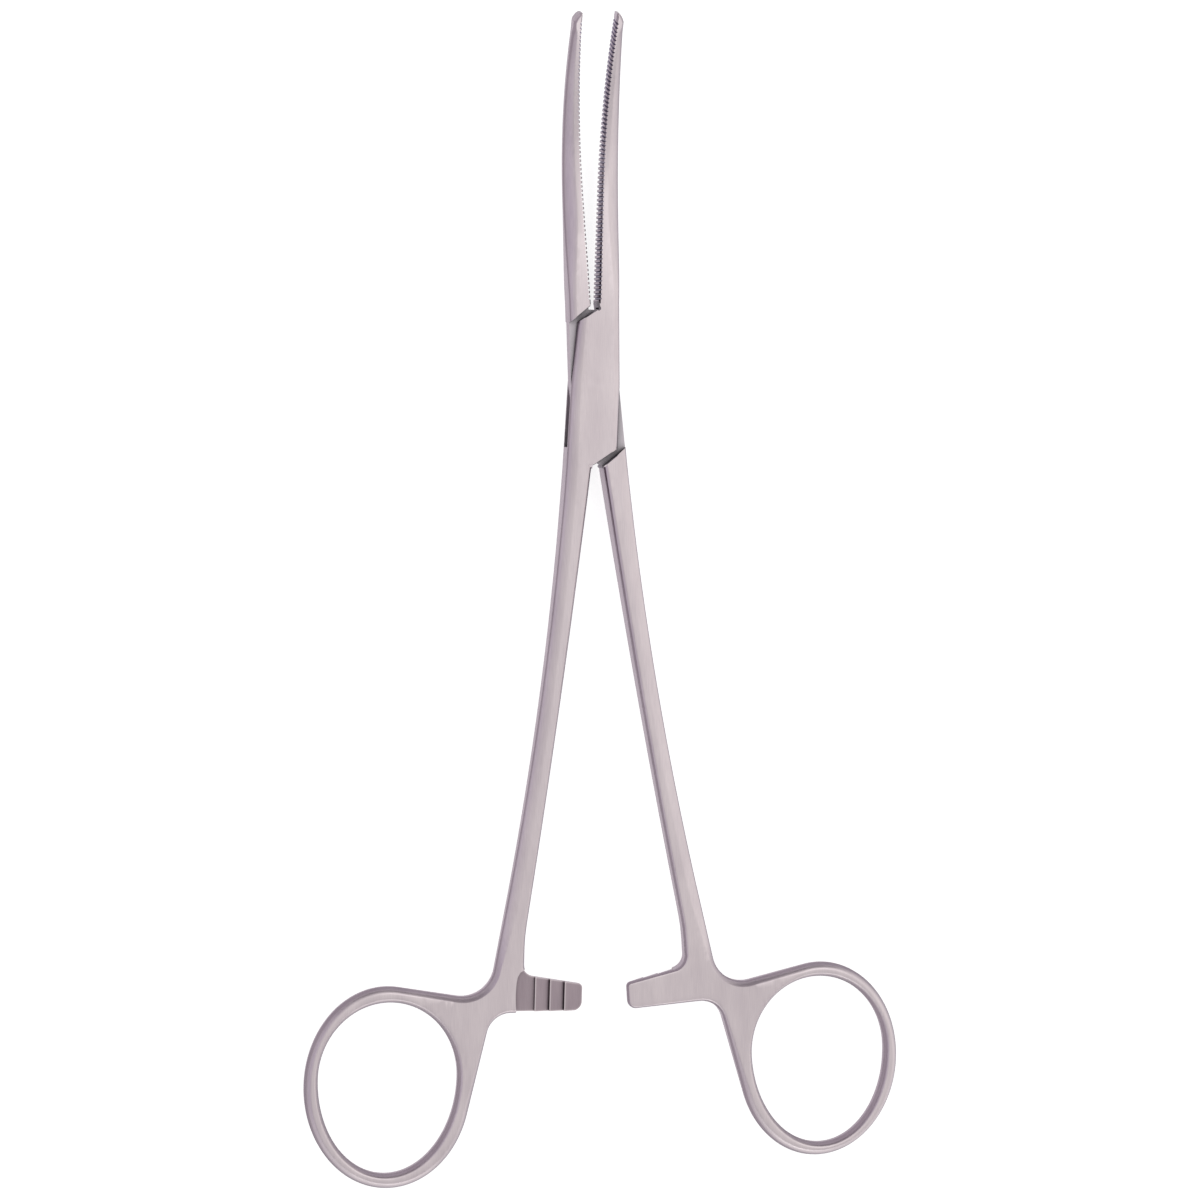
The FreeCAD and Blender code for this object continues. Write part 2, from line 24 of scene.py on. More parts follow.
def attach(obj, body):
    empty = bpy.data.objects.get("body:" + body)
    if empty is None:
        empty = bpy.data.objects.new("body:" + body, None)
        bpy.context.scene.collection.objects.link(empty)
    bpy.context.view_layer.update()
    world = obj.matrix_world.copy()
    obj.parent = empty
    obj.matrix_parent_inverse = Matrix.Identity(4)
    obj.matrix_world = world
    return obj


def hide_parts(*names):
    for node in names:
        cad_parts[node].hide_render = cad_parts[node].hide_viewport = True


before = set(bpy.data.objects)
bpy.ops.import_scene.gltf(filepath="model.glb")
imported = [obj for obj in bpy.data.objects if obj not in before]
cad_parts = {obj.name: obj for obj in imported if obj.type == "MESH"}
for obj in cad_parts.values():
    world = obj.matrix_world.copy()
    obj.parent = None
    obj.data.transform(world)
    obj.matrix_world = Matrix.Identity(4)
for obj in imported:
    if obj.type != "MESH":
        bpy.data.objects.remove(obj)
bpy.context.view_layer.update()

LOG = logging.getLogger("clamp")
MILLIMETRE = 0.001

# Steps of the meshes, in millimetres and degrees
RUN_STEP = 0.5
ARC_STEP_DEG = 6.0
RING_STEP_DEG = 2.0
INNER_STEP = 0.9
# Smallest distance of an inner point from the rims, as a share of the inner step
CLEAR_SHARE = 0.6
EDGE_LEVELS = 7
PIN_SIDES = 72
SMOOTH_ANGLE_DEG = 32.0
# A turn of the outline sharper than this, as a sine, is a corner
CORNER_TURN = 0.2
# Length by which a cutter runs past what it cuts
BEYOND = 0.3
# Distance under which the triangulation takes two points for one
SAME_PLACE = 1e-7

# Types that stand in many signatures
Colour = tuple[float, float, float]
Socket = bpy.types.NodeSocket
WHITE = (1.0, 1.0, 1.0, 1.0)


class HalfKind(Enum):
    """Which of the two forged halves a piece is."""

    BOX = "box_half"
    TONGUE = "tongue_half"


@dataclass(frozen=True)
class Rounding:
    """Rounding of a long edge: its reach, its depth and how flat a bevel it is."""

    width: float
    depth: float
    bevel: float = 0.0

    def towards(self, other: "Rounding", share: float) -> "Rounding":
        """Rounding that has changed by a share into another.

        Args:
            other: the other rounding.
            share: 0 for this rounding and 1 for the other.

        Returns:
            The rounding between them.
        """
        width = self.width + (other.width - self.width) * share
        depth = self.depth + (other.depth - self.depth) * share
        return Rounding(width, depth, self.bevel + (other.bevel - self.bevel) * share)


# Small chamfer that every long edge has outside its wider rounding
EDGE_BREAK = Rounding(0.22, 0.36)


@dataclass
class Solid:
    """Closed mesh in millimetres: an array of points and its faces."""

    points: np.ndarray
    faces: list[tuple[int, ...]]

    def mirrored(self) -> "Solid":
        """The mirror image in the plane X = 0."""
        return Solid(self.points * (-1, 1, 1), [face[::-1] for face in self.faces])

    def flipped(self) -> "Solid":
        """The mirror image in the plane Z = 0."""
        return Solid(self.points * (1, 1, -1), [face[::-1] for face in self.faces])

    def turned(self, angle_deg: float, lift: float) -> "Solid":
        """Turn the solid about the pin and lift it.

        Args:
            angle_deg: turn about the Z axis, by the right-hand rule.
            lift: distance along +Z.

        Returns:
            The moved solid.
        """
        cos, sin = math.cos(math.radians(angle_deg)), math.sin(math.radians(angle_deg))
        turn = np.array([[cos, -sin, 0], [sin, cos, 0], [0, 0, 1]])
        return Solid(self.points @ turn.T + (0, 0, lift), self.faces)

    def mesh(self, name: str) -> bpy.types.Mesh:
        """Blender mesh of the solid, still in millimetres.

        Args:
            name: name of the mesh.

        Returns:
            The mesh.
        """
        made = bpy.data.meshes.new(name)
        made.from_pydata(self.points.tolist(), [], self.faces)
        made.validate()
        return made


def loft(rings: list[np.ndarray]) -> Solid:
    """Closed solid through rings of points, capped at both ends.

    Args:
        rings: rings with the same number of points, counter-clockwise seen from the last.

    Returns:
        The solid.
    """
    count = len(rings[0])
    faces: list[tuple[int, ...]] = [tuple(reversed(range(count)))]
    for level in range(len(rings) - 1):
        low, high = level * count, (level + 1) * count
        for index in range(count):
            after = (index + 1) % count
            faces.append((low + index, low + after, high + after, high + index))
    faces.append(tuple((len(rings) - 1) * count + index for index in range(count)))
    return Solid(np.vstack(rings), faces)


def flat(x: float, y: float) -> np.ndarray:
    """Point or direction in the plane of the clamp."""
    return np.array([x, y], float)


def unit(way: np.ndarray) -> np.ndarray:
    """Direction of length one."""
    return way / np.linalg.norm(way)


def through(start: tuple[float, float], middle: tuple[float, float], end: tuple[float, float],
            at: float) -> float:
    """Value of the parabola through three (station, value) pairs.

    Args:
        start, middle, end: the pairs.
        at: station of the wanted value.

    Returns:
        The value there.
    """
    (s0, v0), (s1, v1), (s2, v2) = start, middle, end
    share0 = (at - s1) * (at - s2) / ((s0 - s1) * (s0 - s2))
    share1 = (at - s0) * (at - s2) / ((s1 - s0) * (s1 - s2))
    share2 = (at - s0) * (at - s1) / ((s2 - s0) * (s2 - s1))
    return v0 * share0 + v1 * share1 + v2 * share2


def eased(share: float) -> float:
    """Share that starts and ends its growth gently."""
    kept = min(1.0, max(0.0, share))
    return kept * kept * (3 - 2 * kept)


def crossing(point_a: np.ndarray, way_a: np.ndarray, point_b: np.ndarray,
             way_b: np.ndarray) -> np.ndarray:
    """Point where two straight lines meet.

    Args:
        point_a, way_a: a point and the direction of the first line.
        point_b, way_b: a point and the direction of the second line.

    Returns:
        The crossing.
    """
    across = way_a[0] * way_b[1] - way_a[1] * way_b[0]
    between = point_b - point_a
    return point_a + way_a * ((between[0] * way_b[1] - between[1] * way_b[0]) / across)


def followed(side: Callable[[float], float], start: float, end: float,
             length: float) -> list[np.ndarray]:
    """Points along a side of about that length, between two heights, from its X at a height."""
    return [flat(side(y), y) for y in np.linspace(start, end, round(length / RUN_STEP))]


def straight(start: np.ndarray, end: np.ndarray, step: float = RUN_STEP) -> list[np.ndarray]:
    """Evenly spaced points from one end to the other, both included, at most a step apart."""
    count = max(1, math.ceil(np.linalg.norm(end - start) / step))
    return [start + (end - start) * number / count for number in range(count + 1)]


def rounded(before: np.ndarray, corner: np.ndarray, after: np.ndarray,
            radius: float) -> list[np.ndarray]:
    """Points of the arc that rounds off a corner.

    Args:
        before, after: points on the two straight runs that meet there.
        corner: where they would meet.
        radius: radius of the arc.

    Returns:
        The points, from the first run to the second.
    """
    to_before, to_after = unit(before - corner), unit(after - corner)
    half_angle = math.acos(float(np.clip(to_before @ to_after, -1, 1))) / 2
    centre = corner + unit(to_before + to_after) * radius / math.sin(half_angle)
    start = corner + to_before * radius / math.tan(half_angle) - centre
    end = corner + to_after * radius / math.tan(half_angle) - centre
    turn = math.atan2(start[0] * end[1] - start[1] * end[0], float(start @ end))
    count = max(2, math.ceil(abs(math.degrees(turn)) / ARC_STEP_DEG))
    points = []
    for number in range(count + 1):
        cos, sin = math.cos(turn * number / count), math.sin(turn * number / count)
        points.append(centre + flat(start[0] * cos - start[1] * sin, start[0] * sin + start[1] * cos))
    return points


def prism(outline: Callable[[float], list[np.ndarray]], low: float, high: float,
          chamfer_low: float = 0.0, chamfer_high: float = 0.0) -> Solid:
    """Upright block that can leave a chamfer where it passes a face.

    Args:
        outline: gives the outline, counter-clockwise, grown by a distance.
        low, high: levels of the faces that it passes or ends on.
        chamfer_low, chamfer_high: chamfer at each face. With one, the block runs past it.

    Returns:
        The block.
    """
    levels = [(low, 0.0), (high, 0.0)]
    if chamfer_low:
        levels[0:1] = [(low - BEYOND, BEYOND + chamfer_low), (low + chamfer_low, 0.0)]
    if chamfer_high:
        levels[-1:] = [(high - chamfer_high, 0.0), (high + BEYOND, BEYOND + chamfer_high)]
    rings = []
    for level, growth in levels:
        rings.append(np.array([(x, y, level) for x, y in outline(growth)]))
    return loft(rings)


def disc(radius: float) -> list[np.ndarray]:
    """Points of a circle around the pin's axis, counter-clockwise."""
    turns = [math.tau * number / PIN_SIDES for number in range(PIN_SIDES)]
    return [flat(radius * math.cos(turn), radius * math.sin(turn)) for turn in turns]


def bar(radius: float, reach: float) -> Solid:
    """Round bar on the pin's axis that reaches as far to the rear as to the front."""
    return prism(lambda growth: disc(radius + growth), -reach, reach)


class Outline:
    """Closed outline of a flat blank, with the rounding of its edge at each point."""

    def __init__(self) -> None:
        """Start with no points."""
        self.points: list[np.ndarray] = []
        self.before: list[Rounding] = []
        self.after: list[Rounding] = []

    def run(self, points: list[np.ndarray], start: Rounding, end: Rounding) -> None:
        """Add a run whose rounding changes evenly along it.

        Args:
            points: the run's points. The first may be the last point of the run before.
            start, end: rounding at its two ends.
        """
        lengths = [float(np.linalg.norm(b - a)) for a, b in zip(points, points[1:])]
        total, gone = sum(lengths), 0.0
        for index, point in enumerate(points):
            rounding = start.towards(end, gone / total)
            if index == 0 and self.points and np.allclose(point, self.points[-1]):
                self.after[-1] = rounding
            else:
                self.points.append(point)
                self.before.append(rounding)
                self.after.append(rounding)
            gone += lengths[index] if index < len(lengths) else 0.0

    def offsets(self) -> tuple[np.ndarray, np.ndarray, np.ndarray, np.ndarray, np.ndarray]:
        """Work out how far in the rounding reaches from each point.

        Returns:
            The points and, at each, the steps inwards over the edge's break and over its
            rounding, and the rounding's depth and bevel.
        """
        if np.allclose(self.points[0], self.points[-1]):
            self.before[0] = self.before[-1]
            del self.points[-1], self.before[-1], self.after[-1]
        points = np.array(self.points)
        breaks, steps = [], []
        for index, point in enumerate(points):
            way_in = unit(point - points[index - 1])
            way_out = unit(points[(index + 1) % len(points)] - point)
            normal_in, normal_out = flat(-way_in[1], way_in[0]), flat(-way_out[1], way_out[0])
            widths = (self.before[index].width, self.after[index].width)
            turn = normal_in[0] * normal_out[1] - normal_in[1] * normal_out[0]
            if abs(turn) > CORNER_TURN:
                corner = np.array([normal_in, normal_out])
                breaks.append(np.linalg.solve(corner, [EDGE_BREAK.width] * 2))
                steps.append(np.linalg.solve(corner, widths))
            else:
                middle = unit(normal_in + normal_out)
                middle = middle / (middle @ normal_in)
                breaks.append(middle * EDGE_BREAK.width)
                steps.append(middle * sum(widths) / 2)
        pairs = list(zip(self.before, self.after))
        depths = np.array([(a.depth + b.depth) / 2 for a, b in pairs])
        bevels = np.array([(a.bevel + b.bevel) / 2 for a, b in pairs])
        return points, np.array(breaks), np.array(steps), depths, bevels


@dataclass(frozen=True)
class Lock:
    """Box lock: slanted plates of one half around the tongue of the other."""

    thickness: float = 5.0
    width_at_jaws: float = 7.3
    width_at_shanks: float = 9.3
    end_land: float = 0.85
    corner_from_pin: float = 10.25
    corner_inset: float = 0.45
    end_angle_deg: float = 35.0
    crotch_radius: float = 0.28
    crotch_lip: float = 0.9
    relief_steps: int = 14
    relief_run_out: float = 0.1
    tongue_thickness: float = 2.3
    face_clearance: float = 0.05
    shoulder_gap: float = 0.5
    slot_end_gap: float = 0.3
    chamfer: float = 0.1
    edge: Rounding = Rounding(0.95, 0.42, 0.6)
    pin_radius: float = 1.6
    pin_clearance: float = 0.03

    @property
    def slope(self) -> float:
        """Rise of a plate's slanted end for each millimetre across."""
        return math.tan(math.radians(self.end_angle_deg))

    @property
    def end_y(self) -> float:
        """Distance from the pin to where a jaw or a shank begins."""
        mean_half_width = (self.width_at_jaws + self.width_at_shanks) / 4
        return self.corner_from_pin + mean_half_width * self.slope + self.end_land

    def half_width(self, y: float) -> float:
        """Half the lock's width at height y."""
        share = (y + self.end_y) / (2 * self.end_y)
        return (self.width_at_shanks + (self.width_at_jaws - self.width_at_shanks) * share) / 2

    def side(self, y: float, towards_jaws: bool) -> float:
        """Half width with the inset of a plate's free corner, at the jaws or at the shanks."""
        reach = y if towards_jaws else -y
        return self.half_width(y) - self.corner_inset * max(0.0, reach) / self.corner_from_pin

    def crotch_y(self, sign: int, inner: float) -> float:
        """Height where a plate's slanted end, up or down by the sign, meets the inner side."""
        corner = sign * self.corner_from_pin
        return corner + sign * (self.half_width(corner) + inner) * self.slope

    def end_outline(self, sign: int, inner: float, growth: float) -> list[np.ndarray]:
        """Outline of what is cut off one end of the lock, with the crotch's round relief.

        Args:
            sign: 1 for the end at the jaws, -1 for the end at the shanks.
            inner: distance from the middle plane to the jaw's or shank's inner side.
            growth: distance by which the outline is grown.

        Returns:
            The points, counter-clockwise.
        """
        crotch = abs(self.crotch_y(sign, inner))
        slant = math.radians(self.end_angle_deg)
        radius = self.crotch_radius + growth
        away = inner * math.sin(slant) + growth
        first = math.acos(away / radius) - math.pi / 2 - slant
        reach = self.width_at_shanks
        points = [flat(reach, crotch - (reach * math.sin(slant) + away) / math.cos(slant))]
        for number in range(self.relief_steps + 1):
            angle = first - (math.pi + first) * number / self.relief_steps
            points.append(flat(radius * math.cos(angle), crotch + radius * math.sin(angle)))
        past = crotch + self.end_land + self.crotch_lip
        points += [flat(self.relief_run_out - inner, past), flat(reach, past)]
        return [sign * point for point in reversed(points)]

    def end_cutter(self, sign: int, inner: float) -> Solid:
        """Block that slants off one end of the lock and opens the crotch there.

        Args:
            sign: 1 for the end at the jaws, -1 for the end at the shanks.
            inner: distance from the middle plane to the jaw's or shank's inner side.

        Returns:
            The block.
        """
        half = self.thickness / 2
        outline = partial(self.end_outline, sign, inner)
        return prism(outline, -half, half, self.chamfer, self.chamfer)

    def strip(self, gap: float, growth: float) -> list[np.ndarray]:
        """Strip between the slanted ends of the other half's plates, with a gap beyond them.

        Args:
            gap: distance by which the strip passes the plates' ends.
            growth: distance by which it is grown.

        Returns:
            The corners, counter-clockwise.
        """
        slant = math.radians(self.end_angle_deg)
        normal = flat(-math.sin(slant), math.cos(slant))
        along = flat(math.cos(slant), math.sin(slant)) * 2 * self.width_at_shanks
        ends = []
        for sign in (1, -1):
            y = sign * self.corner_from_pin
            distance = self.half_width(y) * math.sin(slant) + abs(y) * math.cos(slant)
            ends.append(normal * sign * (distance + gap + growth))
        upper, lower = ends
        return [upper + along, upper - along, lower - along, lower + along]


@dataclass(frozen=True)
class Jaw:
    """Curved jaw with cross serrations."""

    length: float = 49.5
    face_offset: float = 0.05
    middle_width: float = 2.95
    tip_width: float = 1.25
    middle_thickness: float = 3.7
    tip_thickness: float = 2.9
    straight_length: float = 18.0
    bend_radius: float = 55.0
    back_width_share: float = 0.62
    back_depth_share: float = 0.34
    back_fade: float = 0.5
    back_bevel: float = 0.6
    inner_edge: Rounding = Rounding(0.06, 0.05)
    tip_edge: Rounding = Rounding(0.15, 0.2)
    tip_blend_length: float = 2.0
    tip_round_length: float = 1.5
    tip_round_width: float = 1.05
    tip_round_power: float = 1.45
    tip_lean: float = 0.3
    tip_lean_length: float = 3.0
    tooth_pitch: float = 0.74
    tooth_depth: float = 0.4
    groove_flank: float = 0.14
    groove_floor: float = 0.16
    ease_length: float = 12.0

    def width(self, station: float, lock: Lock) -> float:
        """Distance from the middle plane to the jaw's back."""
        root = (0.0, lock.width_at_jaws / 2)
        return through(root, (self.length / 2, self.middle_width), (self.length, self.tip_width), station)

    def thickness(self, station: float, lock: Lock) -> float:
        """Thickness at a station, which leaves the lock's thickness gently.

        Args:
            station: distance along the straight jaw from where it begins.
            lock: the lock below the jaw.

        Returns:
            The thickness.
        """
        root = (0.0, lock.thickness)
        middle = (self.length / 2, self.middle_thickness)
        plain = through(root, middle, (self.length, self.tip_thickness), station)
        return lock.thickness - (lock.thickness - plain) * eased(station / self.ease_length)

    def back_edge(self, station: float, lock: Lock) -> Rounding:
        """Rounding of the jaw's back, which grows along the straight stretch.

        Args:
            station: distance along the straight jaw from where it begins.
            lock: the lock below the jaw.

        Returns:
            The rounding, which turns into that of the tip.
        """
        fade = 1 - self.back_fade * (station / self.length) ** 2
        width = self.width(station, lock) * self.back_width_share * fade
        depth = self.thickness(station, lock) * self.back_depth_share * fade
        back = Rounding(width, depth, self.back_bevel)
        here = lock.edge.towards(back, eased(station / self.straight_length))
        left = self.length - self.tip_round_length - station
        return self.tip_edge.towards(here, eased(left / self.tip_blend_length))

    def bent(self, points: np.ndarray, root_y: float) -> np.ndarray:
        """Bend what lies beyond the lock towards the front.

        Args:
            points: points of a solid with a straight jaw.
            root_y: height where the jaw begins.

        Returns:
            The bent points.
        """
        share = (points[:, 1] - root_y - self.length) / self.tip_lean_length + 1
        lean = self.tip_lean * np.clip(share, 0, 1) ** 2
        station = points[:, 1] - root_y + lean * points[:, 2]
        bend = np.maximum(0.0, station - self.straight_length) / self.bend_radius
        level = np.minimum(points[:, 1], root_y + self.straight_length)
        y = level + self.bend_radius * np.sin(bend) - np.sin(bend) * points[:, 2]
        z = self.bend_radius * (1 - np.cos(bend)) + np.cos(bend) * points[:, 2]
        return np.column_stack([points[:, 0], y, z])

    def serration_cutter(self, lock: Lock) -> Solid:
        """Comb whose teeth cut the grooves across the gripping face and leave narrow lands.

        Args:
            lock: the lock below the jaw.

        Returns:
            The comb, bent as the jaw is.
        """
        count = int((self.length - self.tooth_pitch) / self.tooth_pitch)
        root = -self.face_offset - self.tooth_depth
        reach = lock.thickness
        profile = [
            (0.0, 0.0),
            (self.groove_flank, root),
            (self.groove_flank + self.groove_floor, root),
            (2 * self.groove_flank + self.groove_floor, 0.0),
        ]
        rings = []
        for number in range(count):
            start = lock.end_y + self.tooth_pitch * (number + 0.5)
            for along, x in profile:
                y = start + along
                ring = [(x, y, -reach), (x, y, reach), (BEYOND, y, reach), (BEYOND, y, -reach)]
                rings.append(np.array(ring))
        comb = loft(rings)
        return Solid(self.bent(comb.points, lock.end_y), comb.faces)


@dataclass(frozen=True)
class Shank:
    """Slender shank between the lock and the ring's web."""

    length: float = 76.0
    gap_at_lock: float = 0.85
    middle_from_centre: float = 4.3
    end_from_centre: float = 8.95
    middle_width: float = 3.3
    end_width: float = 3.95
    middle_thickness: float = 3.85
    ease_length: float = 14.0
    inner_edge: Rounding = Rounding(0.5, 0.3, 0.6)
    outer_edge: Rounding = Rounding(1.65, 0.6, 0.6)

    def station(self, share: float, lock: Lock) -> float:
        """Height at a share of the shank's length."""
        return -lock.end_y - self.length * share

    def inner(self, y: float, lock: Lock) -> float:
        """Distance of the inner edge from the middle plane.

        Args:
            y: height.
            lock: the lock above the shank.

        Returns:
            The distance.
        """
        start = (self.station(0, lock), self.gap_at_lock / 2)
        middle = (self.station(0.5, lock), self.middle_from_centre)
        return through(start, middle, (self.station(1, lock), self.end_from_centre), y)

    def outer(self, y: float, lock: Lock) -> float:
        """Distance of the outer edge from the middle plane.

        Args:
            y: height.
            lock: the lock above the shank.

        Returns:
            The distance.
        """
        start = (self.station(0, lock), lock.width_at_shanks / 2)
        middle = (self.station(0.5, lock), self.middle_from_centre + self.middle_width)
        end = (self.station(1, lock), self.end_from_centre + self.end_width)
        return through(start, middle, end, y)

    def thickness(self, y: float, lock: Lock, end: float) -> float:
        """Thickness at a height.

        Args:
            y: height, at or below the lock's end.
            lock: the lock above the shank.
            end: thickness at the shank's lower end.

        Returns:
            The thickness.
        """
        gone = -lock.end_y - y
        middle = (self.length / 2, self.middle_thickness)
        plain = through((0.0, lock.thickness), middle, (self.length, end), gone)
        return lock.thickness - (lock.thickness - plain) * eased(gone / self.ease_length)


@dataclass(frozen=True)
class FingerRing:
    """Finger ring with an egg-shaped hole, and the web that joins it to the shank."""

    thickness: float = 3.2
    side_of_shank: float = 19.55
    below_shank: float = 28.2
    hole_half_width: float = 11.98
    hole_upper: float = 13.0
    hole_lower: float = 16.4
    band_side: float = 2.3
    band_upper: float = 2.7
    band_lower: float = 2.5
    lean_deg: float = 4.0
    neck_leaves_deg: float = 101.0
    web_leaves_deg: float = 199.0
    inner_bend_radius: float = 30.0
    foot_from_centre: float = 9.5
    neck_radius: float = 5.5
    web_radius: float = 4.2
    band_edge: Rounding = Rounding(0.9, 0.9, 0.25)
    hole_edge: Rounding = Rounding(0.62, 0.8, 0.1)
    web_edge: Rounding = Rounding(0.5, 0.3)
    neck_edge: Rounding = Rounding(0.68, 0.72, 0.8)

    @property
    def half_width(self) -> float:
        """Half width of the ring's outer ellipse."""
        return self.hole_half_width + self.band_side

    @property
    def half_length(self) -> float:
        """Half length of the ring's outer ellipse."""
        return (self.hole_upper + self.band_upper + self.hole_lower + self.band_lower) / 2

    def leaned(self, across: float, up: float) -> np.ndarray:
        """Direction turned by the lean of the outer ellipse.

        Args:
            across, up: the direction along the ellipse's own axes.

        Returns:
            The direction in the plane of the clamp.
        """
        lean = math.radians(self.lean_deg)
        x = across * math.cos(lean) + up * math.sin(lean)
        return flat(x, up * math.cos(lean) - across * math.sin(lean))

    def outside(self, centre: np.ndarray, angle_deg: float) -> np.ndarray:
        """Point of the outer ellipse at an angle."""
        angle = math.radians(angle_deg)
        return centre + self.leaned(self.half_width * math.cos(angle), self.half_length * math.sin(angle))

    def way(self, angle_deg: float) -> np.ndarray:
        """Direction of the outer ellipse at an angle."""
        angle = math.radians(angle_deg)
        return self.leaned(-self.half_width * math.sin(angle), self.half_length * math.cos(angle))

    def hole(self, centre: np.ndarray) -> Outline:
        """Outline of the hole, clockwise.

        Args:
            centre: where the hole's two half ellipses meet.

        Returns:
            The outline.
        """
        points = []
        count = round(360 / RING_STEP_DEG)
        for number in range(count + 1):
            angle = -math.tau * number / count
            length = self.hole_upper if math.sin(angle) > 0 else self.hole_lower
            points.append(centre + flat(self.hole_half_width * math.cos(angle), length * math.sin(angle)))
        outline = Outline()
        outline.run(points, self.hole_edge, self.hole_edge)
        return outline


@dataclass(frozen=True)
class RatchetArm:
    """Ratchet arm that stands in from the web, with teeth on one face."""

    below_shank: float = 10.9
    fall: float = 1.75
    tip_width: float = 4.55
    reach: float = 1.15
    root_radius: float = 2.4
    upper_corner_radius: float = 0.8
    lower_corner_radius: float = 1.5
    edge: Rounding = Rounding(0.3, 0.14)
    teeth: int = 3
    pitch: float = 2.6
    first_crest: float = 3.2
    tooth_depth: float = 0.5
    root_land: float = 3.7
    relief: float = 0.04
    root_lift: float = 1.5
    bow: float = 0.5
    run_out: float = 1.6
    run_out_power: int = 8
    bow_steps: int = 13

    def cutter(self, bottom: float, thickness: float) -> Solid:
        """Block that takes the rear half off the arm and leaves its slanted teeth.

        Args:
            bottom: height of the arm's lower edge.
            thickness: a thickness greater than the arm's.

        Returns:
            The block.
        """
        floor = self.relief + self.tooth_depth
        first = self.first_crest - self.reach
        lead_in = self.first_crest + self.pitch
        start_z = self.relief + lead_in * self.tooth_depth / self.pitch
        corners = [(first - lead_in, -thickness), (first - lead_in, start_z)]
        for tooth in range(self.teeth):
            crest = first + tooth * self.pitch
            corners.append((crest, self.relief))
            corners.append((crest, floor))
        end = first + (self.teeth - 1) * self.pitch + self.root_land
        middle = bottom + (self.tip_width + self.fall) / 2
        reach = (self.tip_width + self.fall) / 2 + self.root_lift
        rings = []
        for share in np.linspace(-1, 1, self.bow_steps):
            here = end - self.bow * share ** 2 - self.run_out * max(0.0, share) ** self.run_out_power
            ring = corners + [(here, floor), (here, -thickness)]
            rings.append(np.array([(x, middle + reach * share, z) for x, z in ring]))
        return loft(rings)


@dataclass(frozen=True)
class Nodes:
    """Shader nodes of one tree, each added and linked in one step."""

    tree: bpy.types.NodeTree

    def feed(self, node: bpy.types.Node, inputs: dict[str | int, object]) -> bpy.types.Node:
        """Link or set inputs of a node.

        Args:
            node: the node.
            inputs: a socket to link or a plain value, by the input's name or number.

        Returns:
            The same node.
        """
        for name, value in inputs.items():
            if isinstance(value, Socket):
                self.tree.links.new(value, node.inputs[name])
            else:
                node.inputs[name].default_value = value
        return node

    def add(self, kind: str, inputs: dict[str | int, object], **settings: object) -> bpy.types.Node:
        """Add a node.

        Args:
            kind: its type, without the words that every shader node's type begins with.
            inputs: what its inputs get, as in feed.
            settings: its own settings, which also decide what inputs it has.

        Returns:
            The node.
        """
        node = self.tree.nodes.new("ShaderNode" + kind)
        for name, value in settings.items():
            setattr(node, name, value)
        return self.feed(node, inputs)

    def math(self, operation: str, *values: Socket | float) -> Socket:
        """Result of an operation on sockets or plain numbers."""
        return self.add("Math", dict(enumerate(values)), operation=operation).outputs["Value"]

    def mixed(self, share: Socket | float, first: Socket | tuple, second: Socket | tuple,
              blend: str = "MIX") -> Socket:
        """Colour with a share of the second colour in the first, or blended another way."""
        inputs = {"Factor": share, "A": first, "B": second}
        return self.add("Mix", inputs, data_type="RGBA", blend_type=blend).outputs["Result"]

    def ranged(self, source: Socket, low: float, high: float, start: float = 0.0, end: float = 1.0,
               growth: str = "LINEAR") -> Socket:
        """Values of a source mapped from low and high onto start and end."""
        inputs = {"Value": source, "From Min": low, "From Max": high, "To Min": start, "To Max": end}
        return self.add("MapRange", inputs, interpolation_type=growth).outputs["Result"]

    def facing(self, direction: Socket, way: Colour, edge: float, middle: float) -> Socket:
        """How nearly a direction points one way: 0 at the edge's product and 1 at the middle's."""
        product = self.add("VectorMath", {0: direction, 1: way}, operation="DOT_PRODUCT")
        return self.ranged(product.outputs["Value"], edge, middle, growth="SMOOTHSTEP")


def opaque(colour: Colour) -> tuple[float, float, float, float]:
    """Colour as a node's input takes it."""
    return (*colour, 1.0)


